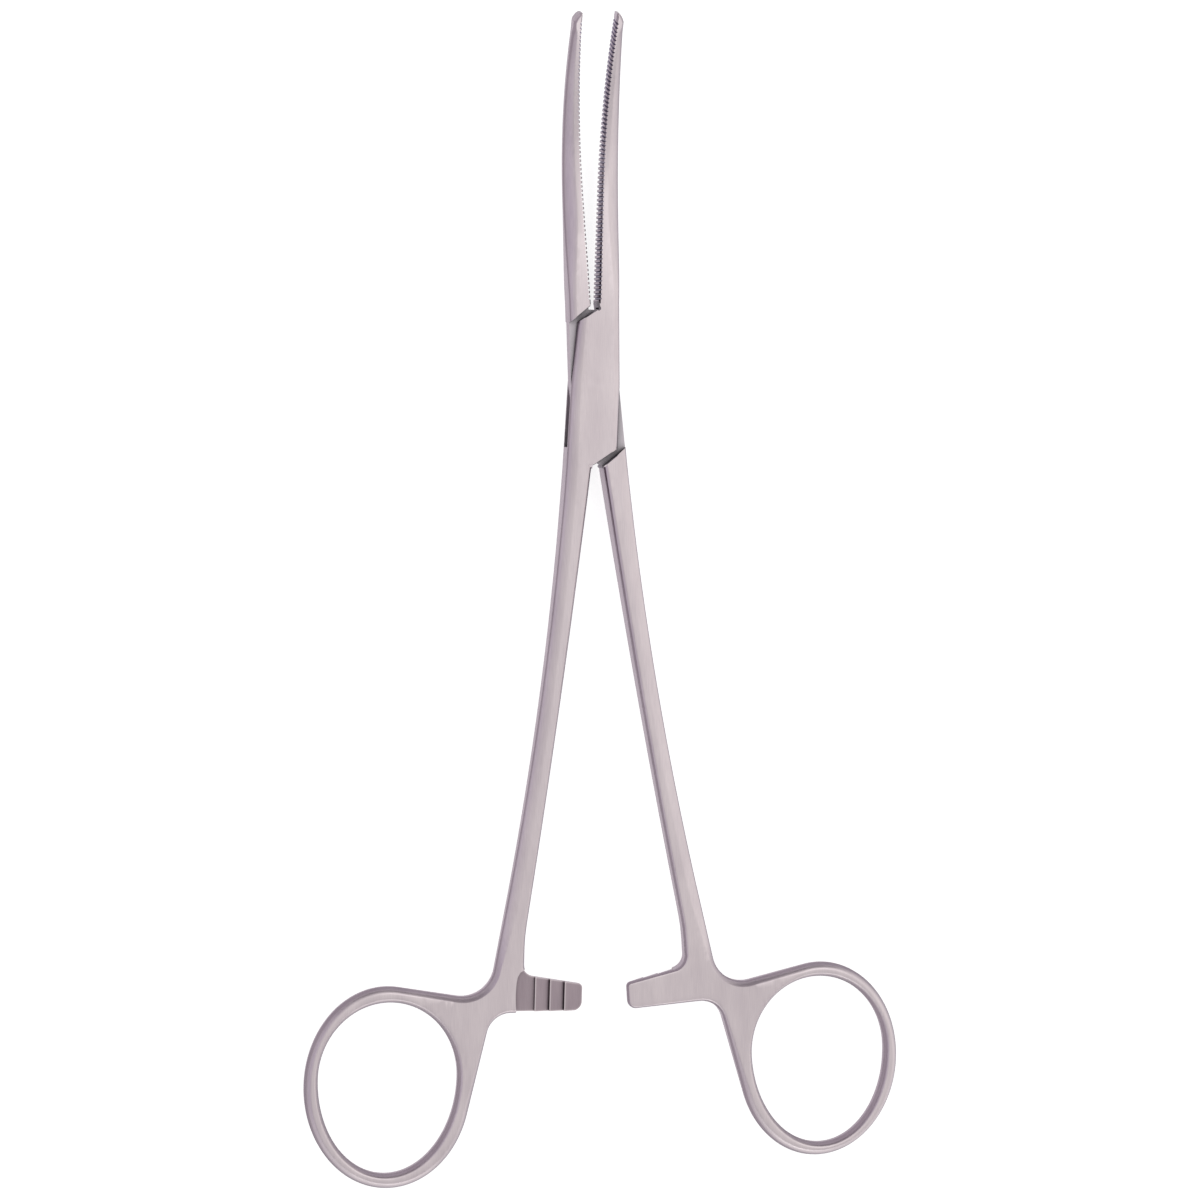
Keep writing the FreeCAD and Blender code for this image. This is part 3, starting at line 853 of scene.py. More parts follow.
@dataclass(frozen=True)
class Steel:
    """Satin stainless steel, brushed along the clamp."""

    name: str
    light: Colour
    dark: Colour
    roughness: tuple[float, float] = (0.34, 0.46)
    grain: float = 0.02
    grain_depth: float = 0.0002
    anisotropy: float = 0.35
    cloud_waves: tuple[float, float, float] = (260.0, 70.0, 260.0)
    cloud_detail: float = 3.0
    streak_waves: tuple[float, float, float] = (9000.0, 320.0, 9000.0)
    streak_detail: float = 4.0
    streak_share: float = 0.5
    streak_range: tuple[float, float] = (0.3, 0.7)
    tint_range: tuple[float, float] = (0.35, 0.65)
    # Painted shade on steep faces, darkest on the edges' breaks and a little lighter on upright sides
    painted_edge_shade: Colour = (0.40, 0.36, 0.415)
    painted_edge_range: tuple[float, float] = (0.45, 0.87)
    painted_side_lift: float = 1.45
    painted_side_range: tuple[float, float] = (0.02, 0.3)
    # Painted shade in crevices: the share of the colour kept there, the reach and the occlusion range
    crevice_shade: float = 1.0
    crevice_shade_reach: float = 0.0012
    crevice_shade_range: tuple[float, float] = (0.35, 0.95)
    # Painted highlight along convex edges: its colour, its reach and the occlusion range
    edge_highlight: Colour | None = None
    edge_highlight_reach: float = 0.0003
    edge_highlight_range: tuple[float, float] = (0.95, 0.6)
    rays: int = 8

    def material(self) -> bpy.types.Material:
        """Build the finish.

        Returns:
            A material with soft tints, brushed streaks, a fine grain, and painted shade and highlights.
        """
        made = bpy.data.materials.new(self.name)
        made.use_nodes = True
        nodes = Nodes(made.node_tree)
        place = nodes.add("TexCoord", {})
        cloud = self.noise(nodes, place, self.cloud_waves, self.cloud_detail)
        streak = self.noise(nodes, place, self.streak_waves, self.streak_detail)
        both = nodes.add("Mix", {"Factor": self.streak_share, "A": cloud, "B": streak})
        tint = nodes.ranged(both.outputs["Result"], *self.tint_range)
        colour = nodes.mixed(tint, opaque(self.dark), opaque(self.light))
        # Painted shade by the slope of each face
        colour = self.painted_slope_shade(nodes, place, colour)
        # Painted shade in crevices
        if self.crevice_shade < 1.0:
            colour = self.shaded_in_crevices(nodes, colour)
        # Painted highlight along convex edges
        if self.edge_highlight:
            colour = self.highlighted_edges(nodes, colour)
        bump = nodes.add("Bump", {"Strength": self.grain, "Distance": self.grain_depth, "Height": streak})
        nodes.feed(made.node_tree.nodes["Principled BSDF"], {
            "Metallic": 1.0,
            "Anisotropic": self.anisotropy,
            "Base Color": colour,
            "Roughness": nodes.ranged(streak, *self.streak_range, *self.roughness),
            "Normal": bump.outputs["Normal"],
        })
        return made

    def painted_slope_shade(self, nodes: Nodes, place: bpy.types.Node, colour: Socket) -> Socket:
        """Paint shade on the sides by how steep they are, darkest on their breaks.

        Args:
            nodes: the material's nodes.
            place: texture coordinates.
            colour: colour of the polished faces.

        Returns:
            The colour with painted shade on the sides.
        """
        split = nodes.add("SeparateXYZ", {"Vector": place.outputs["Normal"]})
        upright = nodes.math("ABSOLUTE", split.outputs["Z"])
        edge_shade_colour = nodes.mixed(nodes.ranged(upright, *self.painted_edge_range), opaque(self.painted_edge_shade), WHITE)
        side_lift_share = nodes.ranged(upright, *self.painted_side_range, self.painted_side_lift, 1.0)
        edge_shaded = nodes.mixed(1.0, colour, edge_shade_colour, "MULTIPLY")
        return nodes.mixed(1.0, edge_shaded, side_lift_share, "MULTIPLY")

    def shaded_in_crevices(self, nodes: Nodes, colour: Socket) -> Socket:
        """Paint shade into narrow crevices, from ambient occlusion.

        Args:
            nodes: the material's nodes.
            colour: colour of open faces.

        Returns:
            The colour with painted shade in crevices.
        """
        shade = nodes.add("AmbientOcclusion", {"Distance": self.crevice_shade_reach}, samples=self.rays)
        kept = nodes.ranged(shade.outputs["AO"], *self.crevice_shade_range, self.crevice_shade, 1.0)
        return nodes.mixed(1.0, colour, kept, "MULTIPLY")

    def highlighted_edges(self, nodes: Nodes, colour: Socket) -> Socket:
        """Paint highlights along convex edges, found by ambient occlusion inside the surface.

        Args:
            nodes: the material's nodes.
            colour: colour of the faces.

        Returns:
            The colour with painted highlights along edges.
        """
        edge = nodes.add("AmbientOcclusion", {"Distance": self.edge_highlight_reach}, samples=self.rays,
                         inside=True, only_local=True)
        share = nodes.ranged(edge.outputs["AO"], *self.edge_highlight_range)
        return nodes.mixed(share, colour, opaque(self.edge_highlight))

    @staticmethod
    def noise(nodes: Nodes, place: bpy.types.Node, waves: Colour, detail: float) -> Socket:
        """Noise stretched along the clamp.

        Args:
            nodes: the material's nodes.
            place: texture coordinates.
            waves: waves for each metre along each axis.
            detail: fineness.

        Returns:
            The noise.
        """
        mapping = nodes.add("Mapping", {"Scale": waves, "Vector": place.outputs["Object"]})
        inputs = {"Scale": 1.0, "Detail": detail, "Vector": mapping.outputs["Vector"]}
        return nodes.add("TexNoise", inputs).outputs["Fac"]


POLISHED_FACE = Steel("satin_steel", (0.705, 0.635, 0.65), (0.59, 0.525, 0.55))
MILLED_FACE = Steel("milled_steel", (0.40, 0.37, 0.39), (0.32, 0.29, 0.32), (0.42, 0.55), 0.04)
# The tongue's faces, the ratchet's teeth and the grooves get painted shade in their crevices
TONGUE_FACE = Steel("tongue_steel", (0.54, 0.50, 0.53), (0.46, 0.43, 0.46), crevice_shade=0.12)
# The ratchet's teeth get a painted highlight along their crests
RATCHET_FACE = Steel("ratchet_steel", (0.42, 0.35, 0.38), (0.34, 0.28, 0.31), crevice_shade=0.3,
                     edge_highlight=(0.64, 0.57, 0.59))
GROOVED_FACE = Steel("serrated_steel", (0.56, 0.50, 0.64), (0.47, 0.42, 0.54),
                     painted_edge_shade=(0.66, 0.62, 0.74), painted_side_lift=1.0, crevice_shade=0.5)
FINISHES = (POLISHED_FACE, MILLED_FACE, TONGUE_FACE, RATCHET_FACE, GROOVED_FACE)


def in_scene(name: str, data: bpy.types.ID) -> bpy.types.Object:
    """New object of the scene with its mesh, lamp or camera.

    Args:
        name: name of the object.
        data: its mesh, lamp or camera.

    Returns:
        The object.
    """
    made = bpy.data.objects.new(name, data)
    bpy.context.scene.collection.objects.link(made)
    return made


def shaped(name: str, blank: Solid, finish: bpy.types.Material,
           cuts: list[tuple[Solid, bpy.types.Material]]) -> bpy.types.Object:
    """Make an object from a blank and what is cut out of it.

    Args:
        name: name of the object.
        blank: closed solid to start from.
        finish: material of the blank's own faces.
        cuts: blocks to cut away, each with the material of the faces that it leaves.

    Returns:
        The object, in metres, smooth apart from its real edges.
    """
    body = in_scene(name, blank.mesh(name + "_blank"))
    body.data.materials.append(finish)
    tools = []
    for number, (block, material) in enumerate(cuts):
        tool = in_scene(f"{name}_cut_{number}", block.mesh(f"{name}_cut_{number}"))
        tool.data.materials.append(material)
        cut = body.modifiers.new(f"cut_{number}", "BOOLEAN")
        cut.operation = "DIFFERENCE"
        cut.solver = "EXACT"
        cut.material_mode = "TRANSFER"
        cut.object = tool
        tools.append(tool)
    evaluated = body.evaluated_get(bpy.context.evaluated_depsgraph_get())
    mesh = bpy.data.meshes.new_from_object(evaluated)
    body.modifiers.clear()
    body.data = mesh
    mesh.name = name
    for tool in tools:
        bpy.data.objects.remove(tool)
    mesh.transform(Matrix.Scale(MILLIMETRE, 4))
    mesh.shade_smooth()
    mesh.set_sharp_from_angle(angle=math.radians(SMOOTH_ANGLE_DEG))
    weighted = body.modifiers.new("even_faces", "WEIGHTED_NORMAL")
    weighted.keep_sharp = True
    return body


@dataclass(frozen=True)
class ClampHalf:
    """One forged half: jaw, lock, shank, finger ring and ratchet arm in one piece of steel."""

    kind: HalfKind
    body: str
    opening_deg: float = 2.7
    lock: Lock = field(default_factory=Lock)
    jaw: Jaw = field(default_factory=Jaw)
    shank: Shank = field(default_factory=Shank)
    ring: FingerRing = field(default_factory=FingerRing)
    arm: RatchetArm = field(default_factory=RatchetArm)

    @property
    def shank_end_y(self) -> float:
        """Height where the shank runs into the web."""
        return self.shank.station(1, self.lock)

    @property
    def arm_bottom(self) -> float:
        """Height of the ratchet arm's lower edge."""
        return self.shank_end_y - self.arm.below_shank - self.arm.fall - self.arm.tip_width

    @property
    def hole_centre(self) -> np.ndarray:
        """Middle of the finger ring's hole."""
        outer = self.shank.end_from_centre + self.shank.end_width
        return flat(outer + self.ring.side_of_shank, self.shank_end_y - self.ring.below_shank)

    @property
    def ring_centre(self) -> np.ndarray:
        """Middle of the finger ring's outer ellipse."""
        top = self.ring.hole_upper + self.ring.band_upper
        bottom = self.ring.hole_lower + self.ring.band_lower
        return self.hole_centre + flat(0, (top - bottom) / 2)

    def half_thickness(self, y: float) -> float:
        """Half the thickness at height y of the half before its jaw is bent.

        Args:
            y: height.

        Returns:
            Half the thickness.
        """
        if y > self.lock.end_y:
            return self.jaw.thickness(y - self.lock.end_y, self.lock) / 2
        if y > -self.lock.end_y:
            return self.lock.thickness / 2
        if y > self.shank_end_y:
            return self.shank.thickness(y, self.lock, self.ring.thickness) / 2
        return self.ring.thickness / 2

    def arm_top(self, x: float) -> float:
        """Height of the arm's upper edge at a distance from the middle plane.

        Args:
            x: the distance, below 0 past the middle plane.

        Returns:
            The height.
        """
        tip = self.shank_end_y - self.arm.below_shank - self.arm.fall
        slope = self.arm.fall / (self.ring.foot_from_centre + self.arm.reach)
        return tip + slope * (x + self.arm.reach)

    def end_way(self, side: Callable[[float, Lock], float]) -> np.ndarray:
        """Direction in which the shank's inner or outer edge runs on into the web."""
        low, high = self.shank_end_y, self.shank_end_y + self.ring.thickness
        return flat(side(low, self.lock) - side(high, self.lock), low - high)

    def draw_jaw_back(self, outline: Outline) -> None:
        """Draw the jaw's back, from the rounded tip to the lock.

        Args:
            outline: the outline so far, which grows.
        """
        jaw, lock = self.jaw, self.lock
        start = jaw.length - jaw.tip_round_length
        count = math.ceil(start / RUN_STEP)
        stations = [start * (1 - number / count) for number in range(count + 1)]
        points = [flat(-jaw.width(station, lock), lock.end_y + station) for station in stations]
        edges = [jaw.back_edge(station, lock) for station in stations]
        for index in range(count):
            outline.run(points[index:index + 2], edges[index], edges[index + 1])

    def draw_inner_side(self, outline: Outline) -> None:
        """Draw the lock's free side, the shank's inner side and the ratchet arm.

        Args:
            outline: the outline so far, which grows.
        """
        lock, shank, ring, arm = self.lock, self.shank, self.ring, self.arm
        low = -lock.end_y - lock.chamfer
        side = followed(lambda y: -lock.side(y, False), lock.end_y, low, 2 * lock.end_y)
        outline.run(side, lock.edge, lock.edge)
        inner = followed(lambda y: shank.inner(y, lock), low, self.shank_end_y, shank.length)
        outline.run(straight(side[-1], inner[0]), shank.inner_edge, shank.inner_edge)
        outline.run(inner, shank.inner_edge, ring.web_edge)
        foot = flat(ring.foot_from_centre, self.arm_top(ring.foot_from_centre))
        bend = crossing(inner[-1], self.end_way(shank.inner), foot, flat(0, 1))
        tip_high = flat(-arm.reach, self.arm_top(-arm.reach))
        tip_low = flat(-arm.reach, self.arm_bottom)
        root_low = flat(ring.foot_from_centre, self.arm_bottom)
        arcs = [
            rounded(inner[-1], bend, foot, ring.inner_bend_radius),
            rounded(bend, foot, tip_high, arm.root_radius),
            rounded(foot, tip_high, tip_low, arm.upper_corner_radius),
            rounded(tip_high, tip_low, root_low, arm.lower_corner_radius),
        ]
        edges = [ring.web_edge, ring.web_edge, arm.edge, arm.edge, arm.edge]
        last = inner[-1]
        for arc, before, after in zip(arcs, edges, edges[1:]):
            outline.run(straight(last, arc[0]), before, before)
            outline.run(arc, before, after)
            last = arc[-1]

    def draw_ring(self, outline: Outline) -> None:
        """Draw the web's lower side, the ring's outside and the neck.

        Args:
            outline: the outline so far, which grows.
        """
        lock, shank, ring = self.lock, self.shank, self.ring
        root_low = flat(ring.foot_from_centre, self.arm_bottom)
        last = outline.points[-1]
        centre = self.ring_centre
        web_point = ring.outside(centre, ring.web_leaves_deg)
        web_way = ring.way(ring.web_leaves_deg)
        web_corner = crossing(web_point, web_way, root_low, flat(1, 0))
        web_arc = rounded(root_low, web_corner, web_point, ring.web_radius)
        outline.run(straight(last, web_arc[0]), self.arm.edge, ring.web_edge)
        outline.run(web_arc, ring.web_edge, ring.web_edge)
        outline.run(straight(web_arc[-1], web_point), ring.web_edge, ring.band_edge)
        sweep = 360 + ring.neck_leaves_deg - ring.web_leaves_deg
        count = round(sweep / RING_STEP_DEG)
        angles = [ring.web_leaves_deg + sweep * number / count for number in range(count + 1)]
        outside = [ring.outside(centre, angle) for angle in angles]
        outline.run(outside, ring.band_edge, ring.band_edge)
        shank_end = flat(shank.outer(self.shank_end_y, lock), self.shank_end_y)
        neck_point, neck_way = outside[-1], ring.way(ring.neck_leaves_deg)
        neck_corner = crossing(shank_end, self.end_way(shank.outer), neck_point, neck_way)
        neck_arc = rounded(neck_point, neck_corner, shank_end, ring.neck_radius)
        outline.run(straight(neck_point, neck_arc[0]), ring.band_edge, ring.neck_edge)
        outline.run(neck_arc, ring.neck_edge, ring.neck_edge)
        outline.run(straight(neck_arc[-1], shank_end), ring.neck_edge, shank.outer_edge)

    def draw_outer_side(self, outline: Outline) -> None:
        """Draw the shank's outer side and the lock's side above it.

        Args:
            outline: the outline so far, which grows.
        """
        lock, shank = self.lock, self.shank
        outer = followed(lambda y: shank.outer(y, lock), self.shank_end_y, -lock.end_y, shank.length)
        outline.run(outer, shank.outer_edge, shank.outer_edge)
        side = followed(lambda y: lock.side(y, True), -lock.end_y, lock.end_y, 2 * lock.end_y)
        outline.run(side, shank.outer_edge, lock.edge)

    def draw_jaw_face(self, outline: Outline) -> None:
        """Draw the lock's upper end, the jaw's gripping face and the tip.

        Args:
            outline: the outline so far, which grows.
        """
        lock, jaw = self.lock, self.jaw
        corner = flat(lock.side(lock.end_y, True), lock.end_y)
        root = flat(-jaw.face_offset, lock.end_y)
        end_y = lock.end_y + jaw.length
        tip = flat(-jaw.face_offset, end_y)
        back = jaw.width(jaw.length - jaw.tip_round_length, lock)
        shoulder = flat(-back + jaw.tip_round_width, end_y)
        outline.run(straight(corner, root), jaw.inner_edge, jaw.inner_edge)
        outline.run(straight(root, tip), jaw.inner_edge, jaw.inner_edge)
        outline.run(straight(tip, shoulder, jaw.tip_edge.width / 2), jaw.tip_edge, jaw.tip_edge)
        count = round(90 / ARC_STEP_DEG)
        curve = []
        for number in range(count + 1):
            angle = math.pi / 2 * number / count
            x = shoulder[0] - jaw.tip_round_width * math.sin(angle) ** jaw.tip_round_power
            y = end_y - jaw.tip_round_length * (1 - max(0.0, math.cos(angle)) ** jaw.tip_round_power)
            curve.append(flat(x, y))
        outline.run(curve, jaw.tip_edge, jaw.tip_edge)

    def outline(self) -> Outline:
        """Outline of the whole half, counter-clockwise.

        Returns:
            The outline.
        """
        made = Outline()
        self.draw_jaw_back(made)
        self.draw_inner_side(made)
        self.draw_ring(made)
        self.draw_outer_side(made)
        self.draw_jaw_face(made)
        return made

    def blank(self) -> Solid:
        """Forging before its lock, teeth and serrations are cut.

        Returns:
            A closed solid with rounded long edges and the jaw bent to the front.
        """
        loops = [self.outline().offsets(), self.ring.hole(self.hole_centre).offsets()]
        points: list[tuple[float, float, float]] = []
        faces: list[tuple[int, ...]] = []
        rims: list[list[int]] = []
        rear_of: dict[int, int] = {}
        quarter = math.pi / 2
        # From the inner rim outwards: the rounding's turn, and whether it is inside the break
        turns = [(quarter * (1 - level / EDGE_LEVELS), 1) for level in range(EDGE_LEVELS + 1)]
        turns.append((0.0, 0))
        levels = [(*pair, 1) for pair in turns] + [(*pair, -1) for pair in reversed(turns)]
        rows = len(levels)
        for place, edge, step, depth, bevel in loops:
            count, start = len(place), len(points)
            for turn, edge_in, sign in levels:
                edge_fall = EDGE_BREAK.depth * (1 - edge_in)
                for point, to_edge, to_rim, fall, power in zip(place, edge, step, depth, 1 + bevel):
                    inward = 1 - max(0.0, math.cos(turn)) ** power
                    x, y = point + to_edge * edge_in + to_rim * inward
                    height = self.half_thickness(y) - edge_fall - fall * (1 - math.sin(turn) ** power)
                    points.append((x, y, sign * height))
            for row in range(rows - 1):
                low, high = start + row * count, start + (row + 1) * count
                for index in range(count):
                    after = (index + 1) % count
                    faces.append((low + index, high + index, high + after, low + after))
            rims.append(list(range(start, start + count)))
            for index in range(count):
                rear_of[start + index] = start + (rows - 1) * count + index
        self.fill(points, faces, rims, rear_of)
        solid = Solid(np.array(points), faces)
        return Solid(self.jaw.bent(solid.points, self.lock.end_y), faces)

    def fill(self, points: list[tuple[float, float, float]], faces: list[tuple[int, ...]],
             rims: list[list[int]], rear_of: dict[int, int]) -> None:
        """Close the front and the rear between the inner rims of the rounding.

        Args:
            points: points of the blank, which get the inner ones added.
            faces: faces of the blank, which get the new ones added.
            rims: front rims, as indices of points.
            rear_of: rear point of each front rim point.
        """
        rim = [index for loop in rims for index in loop]
        order = {index: number for number, index in enumerate(rim)}
        edges = []
        for loop in rims:
            edges += [(order[a], order[b]) for a, b in zip(loop, loop[1:] + loop[:1])]
        places = np.array([points[index][:2] for index in rim])
        inner = inner_points(places, edges)
        coordinates = [Vector(place) for place in np.vstack([places, inner])]
        found, _, triangles, origins, _, _ = delaunay_2d_cdt(coordinates, edges, [], 0, SAME_PLACE)
        corners = np.array([[found[index] for index in triangle] for triangle in triangles])
        kept = within(corners.mean(axis=1), places, edges)
        front, rear = [], []
        for place, origin in zip(found, origins):
            if origin and origin[0] < len(rim):
                front.append(rim[origin[0]])
                rear.append(rear_of[rim[origin[0]]])
                continue
            height = self.half_thickness(place.y)
            front.append(len(points))
            points.append((place.x, place.y, height))
            rear.append(len(points))
            points.append((place.x, place.y, -height))
        for triangle, keep in zip(triangles, kept):
            if not keep:
                continue
            faces.append(tuple(front[index] for index in triangle))
            faces.append(tuple(rear[index] for index in reversed(triangle)))

    def cuts(self) -> list[tuple[Solid, Steel]]:
        """Blocks that are cut out of the blank, with the finish that each leaves.

        Returns:
            Pairs of a block and a finish.
        """
        lock, shank, arm = self.lock, self.shank, self.arm
        half_tongue = lock.tongue_thickness / 2
        made = [
            (lock.end_cutter(1, self.jaw.face_offset), MILLED_FACE),
            (lock.end_cutter(-1, shank.gap_at_lock / 2), MILLED_FACE),
            (self.jaw.serration_cutter(lock), GROOVED_FACE),
        ]
        ratchet = arm.cutter(self.arm_bottom, lock.thickness)
        if self.kind is HalfKind.BOX:
            half_slot = half_tongue + lock.face_clearance
            made.append((ratchet.flipped(), RATCHET_FACE))
            slot = partial(lock.strip, lock.slot_end_gap)
            made.append((prism(slot, -half_slot, half_slot), MILLED_FACE))
            made.append((bar(lock.pin_radius, lock.thickness), MILLED_FACE))
        else:
            half = lock.thickness / 2
            strip = partial(lock.strip, lock.shoulder_gap)
            made.append((ratchet, RATCHET_FACE))
            made.append((prism(strip, half_tongue, half, 0, lock.chamfer), TONGUE_FACE))
            made.append((prism(strip, -half, -half_tongue, lock.chamfer, 0), TONGUE_FACE))
            made.append((bar(lock.pin_radius + lock.pin_clearance, lock.thickness), MILLED_FACE))
        return made

    def placed(self, solid: Solid) -> Solid:
        """Put a solid of this half where it stands in the photograph.

        Args:
            solid: the solid as it stands in the closed tongue half.

        Returns:
            The moved solid.
        """
        lift = self.lock.thickness / 2
        if self.kind is HalfKind.BOX:
            return solid.mirrored().turned(-self.opening_deg, lift)
        return solid.turned(self.opening_deg, lift)

    def build(self, finishes: dict[str, bpy.types.Material]) -> bpy.types.Object:
        """Build the half and let it ride on its body.

        Args:
            finishes: materials by the name of their finish.

        Returns:
            The finished piece, which replaces the half's plain solid.
        """
        cuts = [(self.placed(block), finishes[finish.name]) for block, finish in self.cuts()]
        blank = self.placed(self.blank())
        piece = shaped(self.kind.value + "_forging", blank, finishes[POLISHED_FACE.name], cuts)
        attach(piece, self.body)
        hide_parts(self.kind.value)
        return piece


def within(places: np.ndarray, rim: np.ndarray, edges: list[tuple[int, int]]) -> np.ndarray:
    """Tell which places lie inside closed rims and outside the holes in them.

    Args:
        places: the places to test.
        rim: points of all rims.
        edges: pairs of rim points that make the closed rims.

    Returns:
        True or False for each place.
    """
    inside = np.zeros(len(places), bool)
    for start, end in edges:
        (x0, y0), (x1, y1) = rim[start], rim[end]
        if y0 == y1:
            continue
        spans = (places[:, 1] > min(y0, y1)) & (places[:, 1] <= max(y0, y1))
        reach = x0 + (places[:, 1] - y0) * (x1 - x0) / (y1 - y0)
        inside ^= spans & (places[:, 0] < reach)
    return inside


def inner_points(rim: np.ndarray, edges: list[tuple[int, int]]) -> np.ndarray:
    """Grid of points inside the rims, well clear of them.

    Args:
        rim: points of all rims.
        edges: pairs of rim points that make the closed rims.

    Returns:
        The grid points as an array.
    """
    low, high = rim.min(0), rim.max(0)
    xs = np.arange(low[0], high[0], INNER_STEP)
    ys = np.arange(low[1], high[1], INNER_STEP)
    grid_x, grid_y = np.meshgrid(xs, ys)
    grid_x[1::2] += INNER_STEP / 2
    places = np.column_stack([grid_x.ravel(), grid_y.ravel()])
    places = places[within(places, rim, edges)]
    tree = KDTree(len(rim))
    for index, (x, y) in enumerate(rim):
        tree.insert((x, y, 0), index)
    tree.balance()
    kept = [place for place in places if tree.find((*place, 0))[2] > INNER_STEP * CLEAR_SHARE]
    return np.array(kept)


@dataclass(frozen=True)
class LockPin:
    """Pin through both plates and the tongue, ground flush with the plates."""

    body: str
    lock: Lock = field(default_factory=Lock)

    def build(self, finishes: dict[str, bpy.types.Material]) -> bpy.types.Object:
        """Build the pin and let it ride with the box half.

        Args:
            finishes: materials by the name of their finish.

        Returns:
            The finished piece, which replaces the plain pin.
        """
        half = self.lock.thickness / 2
        pin = bar(self.lock.pin_radius, half).turned(-ClampHalf.opening_deg, half)
        piece = shaped("flush_lock_pin", pin, finishes[POLISHED_FACE.name], [])
        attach(piece, self.body)
        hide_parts("lock_pin")
        return piece


@dataclass(frozen=True)
class PhotoCamera:
    """Camera at the photograph's viewing angle, nearly above the clamp as it lies."""

    distance: float = 576.8
    yaw_deg: float = 13.0
    pitch_deg: float = 4.535
    roll_deg: float = 1.014
    picture_width: float = 1200.0
    focal_pixels: float = 3404.4
    pin_pixel_x: float = 593.45
    pin_pixel_y: float = 385.01
    sensor_width: float = 36.0
    pivot_height: float = 2.5
    nearest: float = 0.01
    farthest: float = 50.0

    def build(self) -> bpy.types.Object:
        """Create the camera and make it the scene's own.

        Returns:
            The camera object.
        """
        turn = (
            Matrix.Rotation(math.radians(self.roll_deg), 3, "Z")
            @ Matrix.Rotation(math.radians(self.pitch_deg), 3, "X")
            @ Matrix.Rotation(math.radians(self.yaw_deg), 3, "Y")
        )
        middle = self.picture_width / 2
        scale = self.distance / self.focal_pixels
        pivot = Vector((
            (self.pin_pixel_x - middle) * scale,
            (middle - self.pin_pixel_y) * scale,
            -self.distance,
        ))
        data = bpy.data.cameras.new("photo_camera")
        data.sensor_width = self.sensor_width
        data.lens = self.focal_pixels / self.picture_width * self.sensor_width
        data.clip_start = self.nearest
        data.clip_end = self.farthest
        camera = in_scene("photo_camera", data)
        back = turn.transposed()
        place = (Vector((0, 0, self.pivot_height)) - back @ pivot) * MILLIMETRE
        camera.matrix_world = Matrix.Translation(place) @ back.to_4x4()
        bpy.context.scene.camera = camera
        return camera


@dataclass(frozen=True)
class Lamp:
    """Soft rectangular lamp that points at the clamp."""

    name: str
    place: tuple[float, float, float]
    size: tuple[float, float]
    power: float
    aim: tuple[float, float, float] = (0.0, -0.03, 0.0)

    def build(self) -> None:
        """Hang the lamp and turn it to the clamp."""
        data = bpy.data.lights.new(self.name, "AREA")
        data.shape = "RECTANGLE"
        data.size, data.size_y = self.size
        data.energy = self.power
        lamp = in_scene(self.name, data)
        lamp.location = self.place
        way = Vector(self.aim) - Vector(self.place)
        lamp.rotation_euler = way.to_track_quat("-Z", "Y").to_euler()


@dataclass(frozen=True)
class Screen:
    """Pale screen beside the clamp that the steel mirrors."""

    way: tuple[float, float, float]
    edge: float
    middle: float
    colour: tuple[float, float, float]

    def added(self, nodes: Nodes, direction: Socket, behind: Socket) -> Socket:
        """Colour of a surround, by the direction that is looked in, with the screen in front."""
        shown = nodes.facing(direction, self.way, self.edge, self.middle)
        return nodes.mixed(shown, behind, opaque(self.colour))


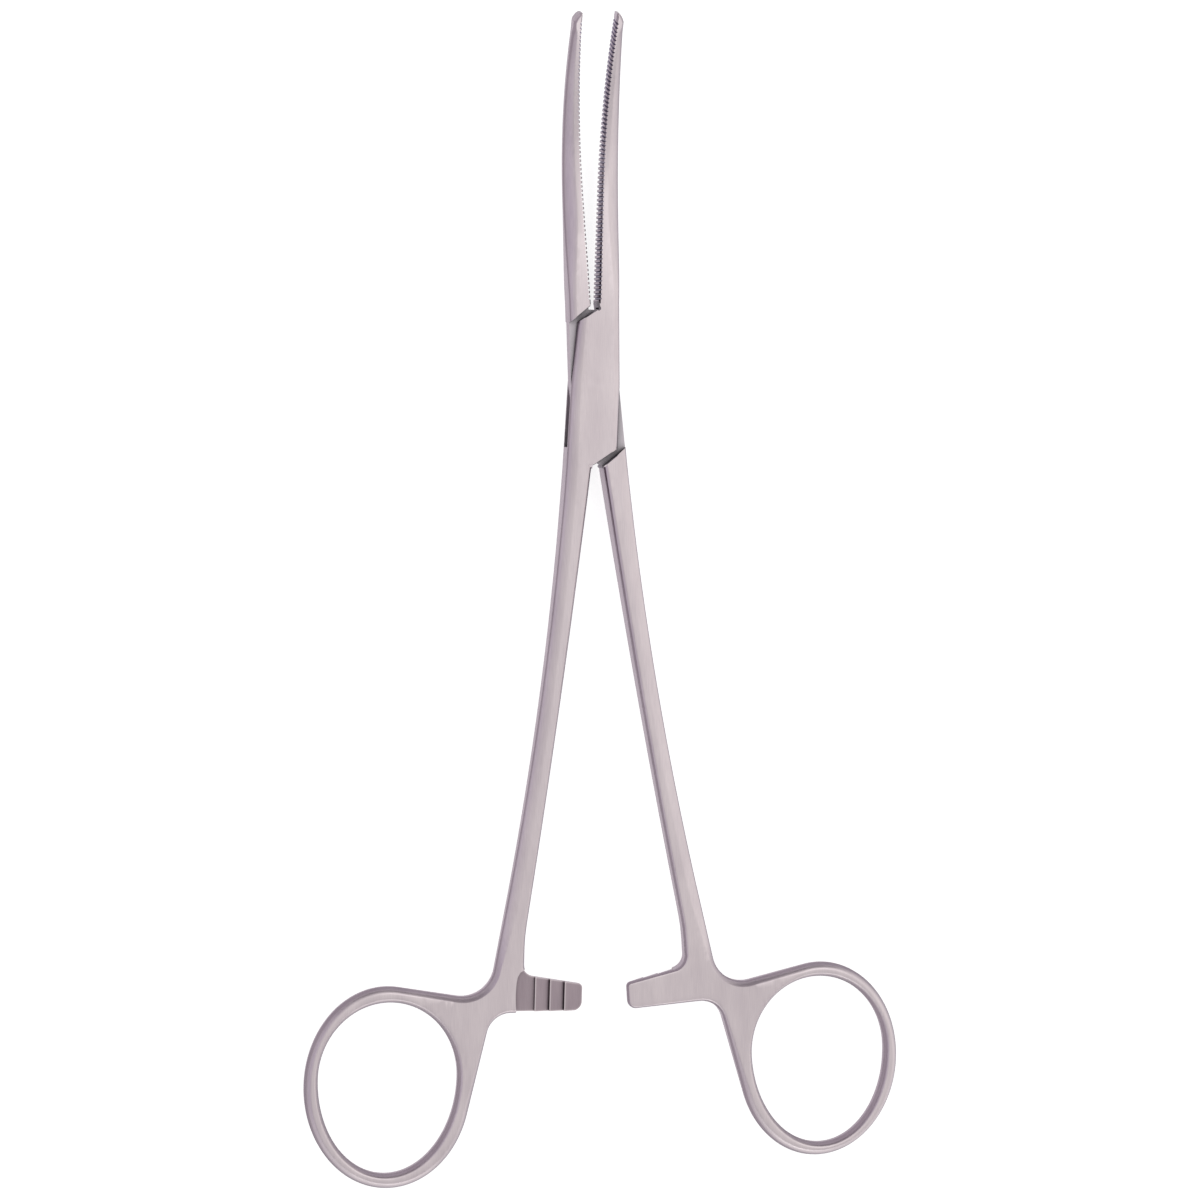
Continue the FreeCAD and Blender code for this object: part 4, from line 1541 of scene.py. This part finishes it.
@dataclass(frozen=True)
class Studio:
    """Plain pale floor, a surround that dims away from the window side, and soft lamps."""

    floor_half: float = 4.0
    floor_level: float = -0.0003
    floor_colour: float = 0.6
    floor_roughness: float = 0.9
    floor_glow: float = 0.78
    bright_way: tuple[float, float, float] = (0.10, 0.28, 0.95)
    bright_at: float = 1.0
    dim_at: float = 0.45
    bright_colour: tuple[float, float, float] = (1.0, 0.99, 0.98)
    dim_colour: tuple[float, float, float] = (0.20, 0.17, 0.21)
    screens: tuple[Screen, ...] = (
        Screen((-1.0, 0.0, 0.0), 0.35, 0.85, (0.74, 0.69, 0.80)),
        Screen((0.0, -1.0, 0.0), 0.35, 0.85, (1.0, 1.0, 1.0)),
        Screen((0.93, 0.12, 0.35), 0.60, 0.92, (1.06, 1.04, 1.03)),
    )
    diffuse_light: float = 0.55
    lamps: tuple[Lamp, ...] = (
        Lamp("key_lamp", (0.25, 0.28, 0.62), (0.35, 0.35), 0.35),
        Lamp("fill_lamp", (0.1, -0.8, 0.5), (0.5, 0.16), 0.4),
    )

    def build(self) -> None:
        """Build the floor, the surround and the lamps."""
        self.floor()
        self.surround()
        for lamp in self.lamps:
            lamp.build()

    def floor(self) -> None:
        """Lay a pale floor that the camera sees as white and that keeps the shadow."""
        half, level = self.floor_half, self.floor_level
        mesh = bpy.data.meshes.new("floor")
        corners = [(-half, -half, level), (half, -half, level), (half, half, level), (-half, half, level)]
        mesh.from_pydata(corners, [], [(0, 1, 2, 3)])
        made = bpy.data.materials.new("white_floor")
        made.use_nodes = True
        nodes = Nodes(made.node_tree)
        nodes.feed(made.node_tree.nodes["Principled BSDF"], {
            "Base Color": opaque((self.floor_colour,) * 3),
            "Roughness": self.floor_roughness,
            "Emission Color": WHITE,
            "Emission Strength": nodes.math("MULTIPLY", self.seen(nodes), self.floor_glow),
        })
        mesh.materials.append(made)
        in_scene("floor", mesh)

    @staticmethod
    def seen(nodes: Nodes) -> Socket:
        """Tell what is seen, also in steel, from what only lights.

        Args:
            nodes: the material's nodes.

        Returns:
            1 for rays from the camera and from mirroring or clear faces, and otherwise 0.
        """
        path = nodes.add("LightPath", {})
        result = path.outputs["Is Camera Ray"]
        for name in ("Is Glossy Ray", "Is Transmission Ray"):
            result = nodes.math("MAXIMUM", result, path.outputs[name])
        return result

    def surround(self) -> None:
        """Set the surround that the steel mirrors and a plain one that lights the rest."""
        world = bpy.data.worlds.new("studio_surround")
        world.use_nodes = True
        bpy.context.scene.world = world
        nodes = Nodes(world.node_tree)
        direction = nodes.add("TexCoord", {}).outputs["Generated"]
        bright = nodes.facing(direction, self.bright_way, self.dim_at, self.bright_at)
        colour = nodes.mixed(bright, opaque(self.dim_colour), opaque(self.bright_colour))
        for screen in self.screens:
            colour = screen.added(nodes, direction, colour)
        plain = nodes.feed(world.node_tree.nodes["Background"],
                           {"Color": WHITE, "Strength": self.diffuse_light})
        mirrored = nodes.add("Background", {"Color": colour})
        backdrop = nodes.add("Background", {"Color": WHITE})
        path = nodes.add("LightPath", {})
        shown = plain.outputs["Background"]
        for ray, layer in (("Is Glossy Ray", mirrored), ("Is Camera Ray", backdrop)):
            inputs = {"Fac": path.outputs[ray], 1: shown, 2: layer.outputs["Background"]}
            shown = nodes.add("MixShader", inputs).outputs["Shader"]
        nodes.feed(world.node_tree.nodes["World Output"], {"Surface": shown})


def main() -> None:
    """Build the clamp, its studio and its camera, and report each piece."""
    logging.basicConfig(level=logging.INFO, format="%(name)s: %(message)s")
    bpy.context.scene.view_settings.view_transform = "Standard"
    finishes = {steel.name: steel.material() for steel in FINISHES}
    slim_ring = FingerRing(band_upper=2.4, band_lower=2.2, band_side=2.25)
    plain_arm = RatchetArm(root_lift=0.1, root_land=0.4, bow=0.1, run_out=0.0)
    makers = [
        ClampHalf(HalfKind.BOX, "box_side"),
        ClampHalf(HalfKind.TONGUE, "tongue_side", ring=slim_ring, arm=plain_arm),
        LockPin("box_side"),
    ]
    for maker in makers:
        piece = maker.build(finishes)
        LOG.info("%s has %d faces", piece.name, len(piece.data.polygons))
    Studio().build()
    PhotoCamera().build()


if __name__ == "__main__":
    main()
